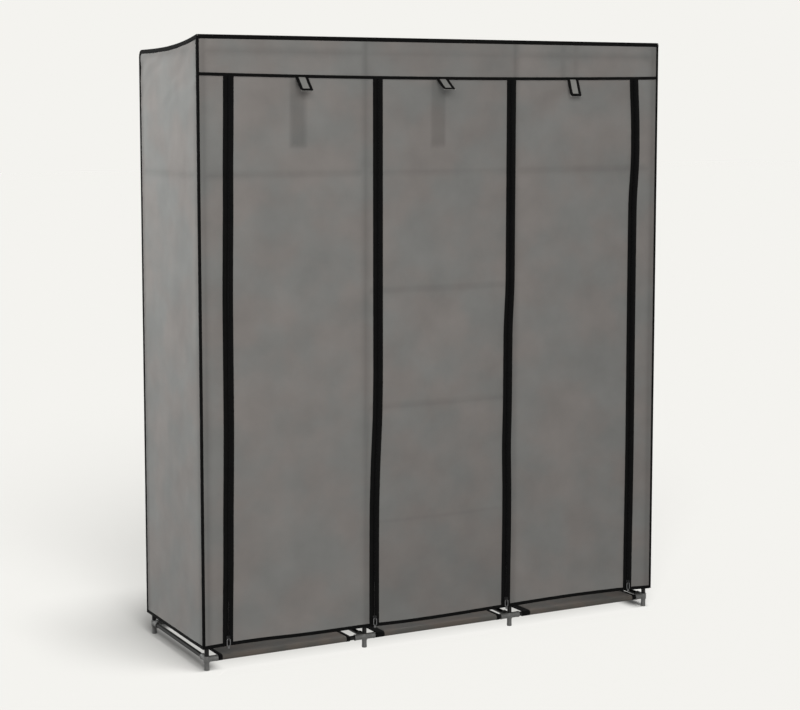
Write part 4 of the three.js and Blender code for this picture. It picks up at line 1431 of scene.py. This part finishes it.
class WARDROBE_OT_sliders(bpy.types.Operator):
    """Makes the zips' sliders and their pulls"""

    bl_idname = "wardrobe.sliders"
    bl_label = "Sliders and pulls"

    def execute(self, context):
        sizes = context.scene.wardrobe_zips
        for number in ZIP_NUMBERS:
            self.make_slider(sizes, number)
            self.make_pull(sizes, number)
        return {"FINISHED"}

    def make_slider(self, sizes, number):
        """Two plates that narrow downwards, a wedge between them and a crown in front."""
        low, high = box(f"zip_slider_{number}")
        centre, half, tall = middle(f"zip_slider_{number}"), (high.x - low.x) / 2, high.z - low.z
        back, plate = high.y, sizes.plate
        shape = Shape()
        for near in (back, back - plate - sizes.channel):
            rows = [[Vector((centre.x + a, y, centre.z + b))
                     for a, b in self.outline(half - inset, tall / 2 - inset, sizes.shoulder)]
                    for y, inset in ((near, PLATE_EDGE), (near - PLATE_EDGE, 0),
                                     (near - plate + PLATE_EDGE, 0), (near - plate, PLATE_EDGE))]
            start, width = len(shape.points), len(rows[0])
            shape.grid(rows, lambda r, c: (c * MM, r * MM), closed=True)
            shape.cap(range(start, start + width))
            shape.cap(range(len(shape.points) - width, len(shape.points)))
        front = back - 2 * plate - sizes.channel
        wedge = [Vector((centre.x, y, centre.z + tall * WEDGE_PLACE))
                 for y in (back - plate / 2, front + plate / 2)]
        shape.sweep(wedge, rounded(WEDGE_WIDTH, tall * WEDGE_HEIGHT, WEDGE_EDGE, steps=2), UP)
        reach = front - low.y - sizes.crown / 2
        arch = [Vector((centre.x, front - reach * math.sin(angle), centre.z + CROWN_RISE * math.cos(angle)))
                for angle in spread(0, math.pi, CROWN_STEP)]
        shape.sweep([arch[0] + BACKWARDS * sizes.crown, *arch, arch[-1] + BACKWARDS * sizes.crown],
                    rounded(sizes.crown, CROWN_WIDTH, CROWN_EDGE, steps=2), RIGHTWARDS)
        piece(f"metal_slider_{number}", shape, material_for("slider"), body=f"slider_{number}",
              stands_for=[f"zip_slider_{number}"])

    def outline(self, half_width, half_height, shoulder):
        """A slider's plate from the front: broad shoulders, a waist and a square tail."""
        tail = half_width - shoulder
        right = [(tail, -half_height), (tail, half_height * PLATE_WAIST)]
        right += [(half_width * across, half_height * up) for across, up in PLATE_SHOULDERS]
        return right + [(-a, b) for a, b in reversed(right)]

    def make_pull(self, sizes, number):
        """A long ring that hangs from the crown, with a flat tab under it."""
        low, high = box(f"zip_pull_{number}")
        x, y = middle(f"zip_pull_{number}").xy
        reach = (sizes.ring_width - sizes.ring_wire) / 2
        hinge = JOINTS[f"pull_{number}_swing"]["pos_m"][2]
        lower = high.z - sizes.ring_height + sizes.ring_wire / 2 + reach
        ends = [Vector((x + reach * math.cos(angle), y, centre + reach * math.sin(angle)))
                for centre, first in ((hinge - reach, 0), (lower, math.pi))
                for angle in spread(first, first + math.pi, RING_STEP)]
        shape = Shape()
        ring = strip_path([*ends, ends[0]], RING_SPACING)[:-1]
        wires = [sizes.pull + (sizes.ring_wire - sizes.pull) * settle(hinge - point.z, HINGE_REACH)
                 for point in ring]
        shape.sweep(ring, [rounded(wire, sizes.pull, PULL_EDGE, steps=2) for wire in wires], -BACKWARDS,
                    closed=True)
        bottom, top = low.z - sizes.tab_drop, high.z - sizes.ring_height + sizes.ring_wire
        tab = [(top, sizes.tab_width), *((bottom + rise, sizes.tab_width - less) for rise, less in TAB_END)]
        shape.sweep([Vector((x, y, z)) for z, _ in tab],
                    [rounded(width, sizes.pull, PULL_EDGE, steps=2) for _, width in tab], -BACKWARDS)
        piece(f"metal_pull_{number}", shape, material_for("metal"), body=f"pull_{number}",
              stands_for=[f"zip_pull_{number}"])


# How far the root of an outer strap stands in front of its hinge, and how far down it tapers
STRAP_ROOT = 0.65 * MM
STRAP_ROOT_REACH = 5 * MM
STRAP_SPACING = 4 * MM
# The binding's middle turns round a strap's lower corners in this radius and these steps
STRAP_CORNER = 1.5 * MM
STRAP_CORNER_STEP = math.pi / 8


class WARDROBE_OT_straps(bpy.types.Operator):
    """Makes the outer and the inner straps that hold a rolled-up door"""

    bl_idname = "wardrobe.straps"
    bl_label = "Tie straps"

    def execute(self, context):
        sizes = context.scene.wardrobe_straps
        for side in SIDES:
            joint = JOINTS[f"{side}_strap_hinge"]
            rest = math.radians(-joint["range_deg"][0])
            turn = Matrix.Translation(joint["pos_m"]) @ Matrix.Rotation(-rest, 4, "X")
            self.make(f"outer_strap_{side}", sizes.width, sizes.reach, turn, sizes, f"{side}_strap",
                      [f"tie_strap_{side}"])
            x = strap_x(side) + sizes.inner_shift
            behind = sizes.inner_gap + context.scene.wardrobe_cover.fabric
            hang, reach = Matrix.Translation((x, FRONT + behind, valance_z(x))), sizes.inner_reach
            if side == TURNED_UP:
                hang, reach = hang @ Matrix.Rotation(math.pi, 4, "Y"), sizes.turned_up_reach
            self.make(f"inner_strap_{side}", sizes.inner_width, reach, hang, sizes, "root", [])
        return {"FINISHED"}

    def make(self, name, width, reach, place, sizes, body, stands_for):
        """A strap of cloth that hangs from the origin, put in place, with its binding."""
        cloth = bpy.context.scene.wardrobe_cover
        root, proud, curl = 0, 0, 0
        if stands_for:
            root, proud, curl = STRAP_ROOT, cloth.fabric + cloth.binding_rise, sizes.curl

        def bent(x, z):
            outward = root + (proud - root) * settle(-z, STRAP_ROOT_REACH) + curl * (z / reach) ** 2
            return place @ Vector((x, -outward, z))

        rows, columns = spread(-reach, 0, STRAP_SPACING), spread(-width / 2, width / 2, STRAP_SPACING)
        shape = Shape()
        shape.grid([[bent(x, z) for x in columns] for z in rows], lambda r, c: (columns[c], rows[r]))
        made = piece(f"cloth_{name}", shape, material_for("strap"), body=body,
                     stands_for=stands_for, solid=False)
        thicken(made, cloth.fabric)
        half, low, corner = width / 2 - sizes.binding / 2, -reach + sizes.binding / 2, STRAP_CORNER
        turn = spread(0, math.pi / 2, STRAP_CORNER_STEP)[1:]
        path = [(-half, z) for z in spread(0, low + corner, STRAP_SPACING)]
        path += [(-half + corner - corner * math.cos(angle), low + corner - corner * math.sin(angle))
                 for angle in turn]
        path += [(x, low) for x in spread(-half + corner, half - corner, STRAP_SPACING)[1:]]
        path += [(half - corner + corner * math.sin(angle), low + corner - corner * math.cos(angle))
                 for angle in turn]
        path += [(half, z) for z in spread(low + corner, 0, STRAP_SPACING)[1:]]
        binding = Shape()
        normal = place.to_3x3() @ -BACKWARDS
        profile = rounded(sizes.binding, cloth.fabric + 2 * cloth.binding_rise, cloth.binding_rise, steps=2)
        binding.sweep([bent(x, z) - normal * cloth.fabric / 2 for x, z in path], profile, normal)
        piece(f"binding_{name}", binding, material_for("tape"), body=body)


# The stage

# The camera, fitted to the photograph: place in metres, lens in millimetres, and
# shift as a share of the picture's width
CAMERA_PLACE = (-2.605, -4.918, 1.549)
CAMERA_TILT = math.radians(84.04)
CAMERA_TURN = math.radians(-27.64)
CAMERA_LENS = 84.06
CAMERA_SHIFT = -0.0625

# Light of the world, and shares of light that the floor gives back to the camera and to the object
AMBIENT = 0.2
FLOOR_ALBEDO = 0.25
FLOOR_BOUNCE = 0.08
# The floor reaches this far from the middle, in metres
FLOOR_REACH = 40

# How much of the shadow is taken off the floor inside the object's outline, at the
# front and behind it. That begins in front of the cover, and inside its sides.
FLOOR_LIFT = (0.9, 0.6)
FRONT_LIFT_REACH = 30 * MM
SIDE_LIFT_ROOM = 40 * MM
# It fades in between these distances outside that outline, and goes from the front's
# share to the other over this depth
LIFT_FADE = (20 * MM, -35 * MM)
LIFT_DEPTH = 200 * MM
LIFTED_LIGHT = 0.99

# Two soft suns reach the floor alone, where they cast the object's shadow. Each has
# its share of the floor's light, elevation, direction right of the front, and
# width, in degrees.
FLOOR_SUNS = {"low_sun": (0.38, 40, -18, 40), "high_sun": (0.52, 80, 22, 17)}

# The suns stand this far off, in metres
SUN_DISTANCE = 5

# A lamp under the first raised level: power in watts, how much narrower and shallower
# than the cover it is, and how far it hangs under that level
INNER_LAMP_POWER = 3
INNER_LAMP_ROOM = (100 * MM, 70 * MM)
INNER_LAMP_DROP = 40 * MM

# Large soft lamps that light the object alone: place, aim, power in watts, width, height and colour
LAMPS = {
    "front_lamp": ((-1.2, -3.2, 2.7), (-0.1, 0, 1.0), 65, 2.4, 1.4, "#FFFEFC"),
    "low_fill": ((-0.8, -3.4, 0.5), (0, 0, 0.5), 38, 2.6, 0.9, "#FFFEFC"),
    "left_lamp": ((-3.0, 1.5, 2.3), (-0.75, 0, 0.9), 119, 1.4, 1.2, "#FDFFFF"),
    "right_lamp": ((3.4, -0.4, 2.6), (0.75, 0, 1.0), 60, 1.8, 1.2, "#FFFFFF"),
    "rear_lamp": ((0.6, 3.4, 2.6), (0, 0, 1.0), 75, 2.4, 1.4, "#FFFFFF"),
}


def seen_directly(tree):
    """1 for rays that come from the camera, a reflection or through glass, else 0."""
    path = node(tree, "ShaderNodeLightPath").outputs
    either = node(tree, "ShaderNodeMath", {0: path["Is Camera Ray"], 1: path["Is Glossy Ray"]},
                  operation="MAXIMUM")
    return node(tree, "ShaderNodeMath", {0: either.outputs["Value"], 1: path["Is Transmission Ray"]},
                operation="MAXIMUM").outputs["Value"]


class WARDROBE_OT_stage(bpy.types.Operator):
    """Makes the studio floor, the lights and the camera"""

    bl_idname = "wardrobe.stage"
    bl_label = "Stage"

    def execute(self, context):
        scene = context.scene
        scene.view_settings.view_transform = "Standard"
        floor = self.make_floor(scene)
        self.make_world(scene)
        self.make_lights(scene, floor)
        camera = bpy.data.objects.new("camera", bpy.data.cameras.new("camera"))
        scene.collection.objects.link(camera)
        camera.location = CAMERA_PLACE
        camera.rotation_euler = (CAMERA_TILT, 0, CAMERA_TURN)
        camera.data.lens, camera.data.shift_y = CAMERA_LENS, CAMERA_SHIFT
        scene.camera = camera
        return {"FINISHED"}

    def make_floor(self, scene):
        mesh = bpy.data.meshes.new("floor")
        half = FLOOR_REACH
        mesh.from_pydata([(-half, -half, 0), (half, -half, 0), (half, half, 0), (-half, half, 0)], [],
                         [(0, 1, 2, 3)])
        floor = bpy.data.objects.new("floor", mesh)
        scene.collection.objects.link(floor)
        material, tree = new_material("studio_floor")
        tint = scene.wardrobe_colours.floor
        sun_share = sum(sun[0] for sun in FLOOR_SUNS.values())
        glow_share = 1 - sun_share - FLOOR_ALBEDO * AMBIENT
        lit = node(tree, "ShaderNodeBsdfDiffuse", {"Color": opaque(FLOOR_ALBEDO * Vector(tint))})
        glow = node(tree, "ShaderNodeEmission", {
            "Color": opaque(glow_share * Vector(tint)), "Strength": 1.0})
        shown = node(tree, "ShaderNodeAddShader", {0: lit.outputs["BSDF"], 1: glow.outputs["Emission"]})
        lifted = node(tree, "ShaderNodeEmission", {"Color": opaque(tint), "Strength": LIFTED_LIGHT})
        shown = node(tree, "ShaderNodeMixShader", {
            0: self.under_object(tree), 1: shown.outputs["Shader"], 2: lifted.outputs["Emission"]})
        plain = node(tree, "ShaderNodeBsdfDiffuse", {"Color": (FLOOR_BOUNCE,) * 3 + (1,)})
        mixed = node(tree, "ShaderNodeMixShader", {
            0: seen_directly(tree), 1: plain.outputs["BSDF"], 2: shown.outputs["Shader"]})
        node(tree, "ShaderNodeOutputMaterial", {"Surface": mixed.outputs["Shader"]})
        mesh.materials.append(material)
        return floor

    def under_object(self, tree):
        """How much of the shadow is taken off the floor inside the object's outline,
        which the photograph shows nearly white."""
        place = node(tree, "ShaderNodeNewGeometry").outputs["Position"]
        centred = node(tree, "ShaderNodeVectorMath", {0: place, 1: (0, (FRONT + BACK) / 2, 0)},
                       operation="SUBTRACT")
        apart = node(tree, "ShaderNodeVectorMath", {0: centred.outputs["Vector"]}, operation="ABSOLUTE")
        past = node(tree, "ShaderNodeVectorMath", {
            0: apart.outputs["Vector"], 1: (RIGHT - SIDE_LIFT_ROOM, DEPTH / 2 + FRONT_LIFT_REACH, 0)},
            operation="SUBTRACT")
        axes = node(tree, "ShaderNodeSeparateXYZ", {"Vector": past.outputs["Vector"]}).outputs
        outside = node(tree, "ShaderNodeMath", {0: axes["X"], 1: axes["Y"]}, operation="MAXIMUM")
        inside = node(tree, "ShaderNodeMapRange", {
            "Value": outside.outputs["Value"], "From Min": LIFT_FADE[0], "From Max": LIFT_FADE[1]},
            interpolation_type="SMOOTHSTEP")
        depth = node(tree, "ShaderNodeSeparateXYZ", {"Vector": place}).outputs["Y"]
        lift = node(tree, "ShaderNodeMapRange", {
            "Value": depth, "From Min": FRONT, "From Max": FRONT + LIFT_DEPTH, "To Min": FLOOR_LIFT[0],
            "To Max": FLOOR_LIFT[1]}, interpolation_type="SMOOTHSTEP")
        return node(tree, "ShaderNodeMath", {
            0: inside.outputs["Result"], 1: lift.outputs["Result"]}, operation="MULTIPLY").outputs["Value"]

    def make_world(self, scene):
        world = bpy.data.worlds.new("studio")
        scene.world = world
        world.use_nodes = True
        tree = world.node_tree
        tree.nodes.clear()
        around = node(tree, "ShaderNodeBackground", {"Color": (1, 1, 1, 1), "Strength": AMBIENT})
        shown = node(tree, "ShaderNodeBackground", {
            "Color": opaque(scene.wardrobe_colours.floor), "Strength": 1.0})
        mixed = node(tree, "ShaderNodeMixShader", {
            0: seen_directly(tree), 1: around.outputs["Background"], 2: shown.outputs["Background"]})
        node(tree, "ShaderNodeOutputWorld", {"Surface": mixed.outputs["Shader"]})

    def make_lights(self, scene, floor):
        floor_alone = bpy.data.collections.new("floor alone")
        floor_alone.objects.link(floor)
        for name, (share, *angles) in FLOOR_SUNS.items():
            elevation, azimuth, width = (math.radians(angle) for angle in angles)
            sun = bpy.data.lights.new(name, "SUN")
            sun.energy, sun.angle = share * math.pi / (FLOOR_ALBEDO * math.sin(elevation)), width
            level = math.cos(elevation)
            towards = Vector((-math.sin(azimuth) * level, math.cos(azimuth) * level, -math.sin(elevation)))
            made = self.place(scene, name, sun, -SUN_DISTANCE * towards, towards)
            made.light_linking.receiver_collection = floor_alone
        kept_off = bpy.data.collections.new("all but the floor")
        kept_off.objects.link(floor)
        kept_off.collection_objects[0].light_linking.link_state = "EXCLUDE"
        for name, (place, aim, power, wide, tall, tint) in LAMPS.items():
            lamp = bpy.data.lights.new(name, "AREA")
            lamp.shape, lamp.size, lamp.size_y = "RECTANGLE", wide, tall
            lamp.energy, lamp.color = power, linear(tint)
            made = self.place(scene, name, lamp, Vector(place), Vector(aim) - Vector(place))
            made.light_linking.receiver_collection = kept_off
        self.light_base_shelves(scene)

    def light_base_shelves(self, scene):
        """Stands for the light that comes through the thin cover onto the base shelves."""
        shelves_alone = bpy.data.collections.new("base shelves alone")
        for made in scene.objects:
            if made.name.startswith(("cloth_base_shelf", "binding_base_shelf")):
                shelves_alone.objects.link(made)
        lamp = bpy.data.lights.new("inner_lamp", "AREA")
        lamp.shape, lamp.energy = "RECTANGLE", INNER_LAMP_POWER
        lamp.size, lamp.size_y = RIGHT - LEFT - INNER_LAMP_ROOM[0], DEPTH - INNER_LAMP_ROOM[1]
        above = Vector((0, (FRONT + BACK) / 2, LEVELS[1] - INNER_LAMP_DROP))
        made = self.place(scene, "inner_lamp", lamp, above, -UP)
        made.light_linking.receiver_collection = shelves_alone

    def place(self, scene, name, light, place, towards):
        made = bpy.data.objects.new(name, light)
        scene.collection.objects.link(made)
        made.location = place
        made.rotation_euler = towards.to_track_quat("-Z", "Y").to_euler()
        return made


OPERATORS = (
    WARDROBE_OT_posts,
    WARDROBE_OT_tubes,
    WARDROBE_OT_connectors,
    WARDROBE_OT_shelves,
    WARDROBE_OT_rods,
    WARDROBE_OT_cover,
    WARDROBE_OT_doors,
    WARDROBE_OT_bindings,
    WARDROBE_OT_zips,
    WARDROBE_OT_sliders,
    WARDROBE_OT_straps,
    WARDROBE_OT_stage,
)


class WARDROBE_PT_panel(bpy.types.Panel):
    """Lists the wardrobe's sizes and pieces"""

    bl_idname = "WARDROBE_PT_panel"
    bl_label = "Fabric wardrobe"
    bl_space_type = "VIEW_3D"
    bl_region_type = "UI"
    bl_category = "Wardrobe"

    def draw(self, context):
        for group_name, group in GROUPS.items():
            listed = self.layout.box()
            for name in group.__annotations__:
                listed.prop(getattr(context.scene, group_name), name)
        for operator in OPERATORS:
            self.layout.operator(operator.bl_idname)


CLASSES = (*GROUPS.values(), *OPERATORS, WARDROBE_PT_panel)


def register():
    for made in CLASSES:
        bpy.utils.register_class(made)
    for name, group in GROUPS.items():
        setattr(bpy.types.Scene, name, PointerProperty(type=group))


def unregister():
    for name in GROUPS:
        delattr(bpy.types.Scene, name)
    for made in reversed(CLASSES):
        bpy.utils.unregister_class(made)


def main():
    register()
    bpy.ops.wardrobe.posts()
    bpy.ops.wardrobe.tubes()
    bpy.ops.wardrobe.connectors()
    bpy.ops.wardrobe.shelves()
    bpy.ops.wardrobe.rods()
    bpy.ops.wardrobe.cover()
    bpy.ops.wardrobe.doors()
    bpy.ops.wardrobe.bindings()
    bpy.ops.wardrobe.zips()
    bpy.ops.wardrobe.sliders()
    bpy.ops.wardrobe.straps()
    bpy.ops.wardrobe.stage()


if __name__ == "__main__":
    main()
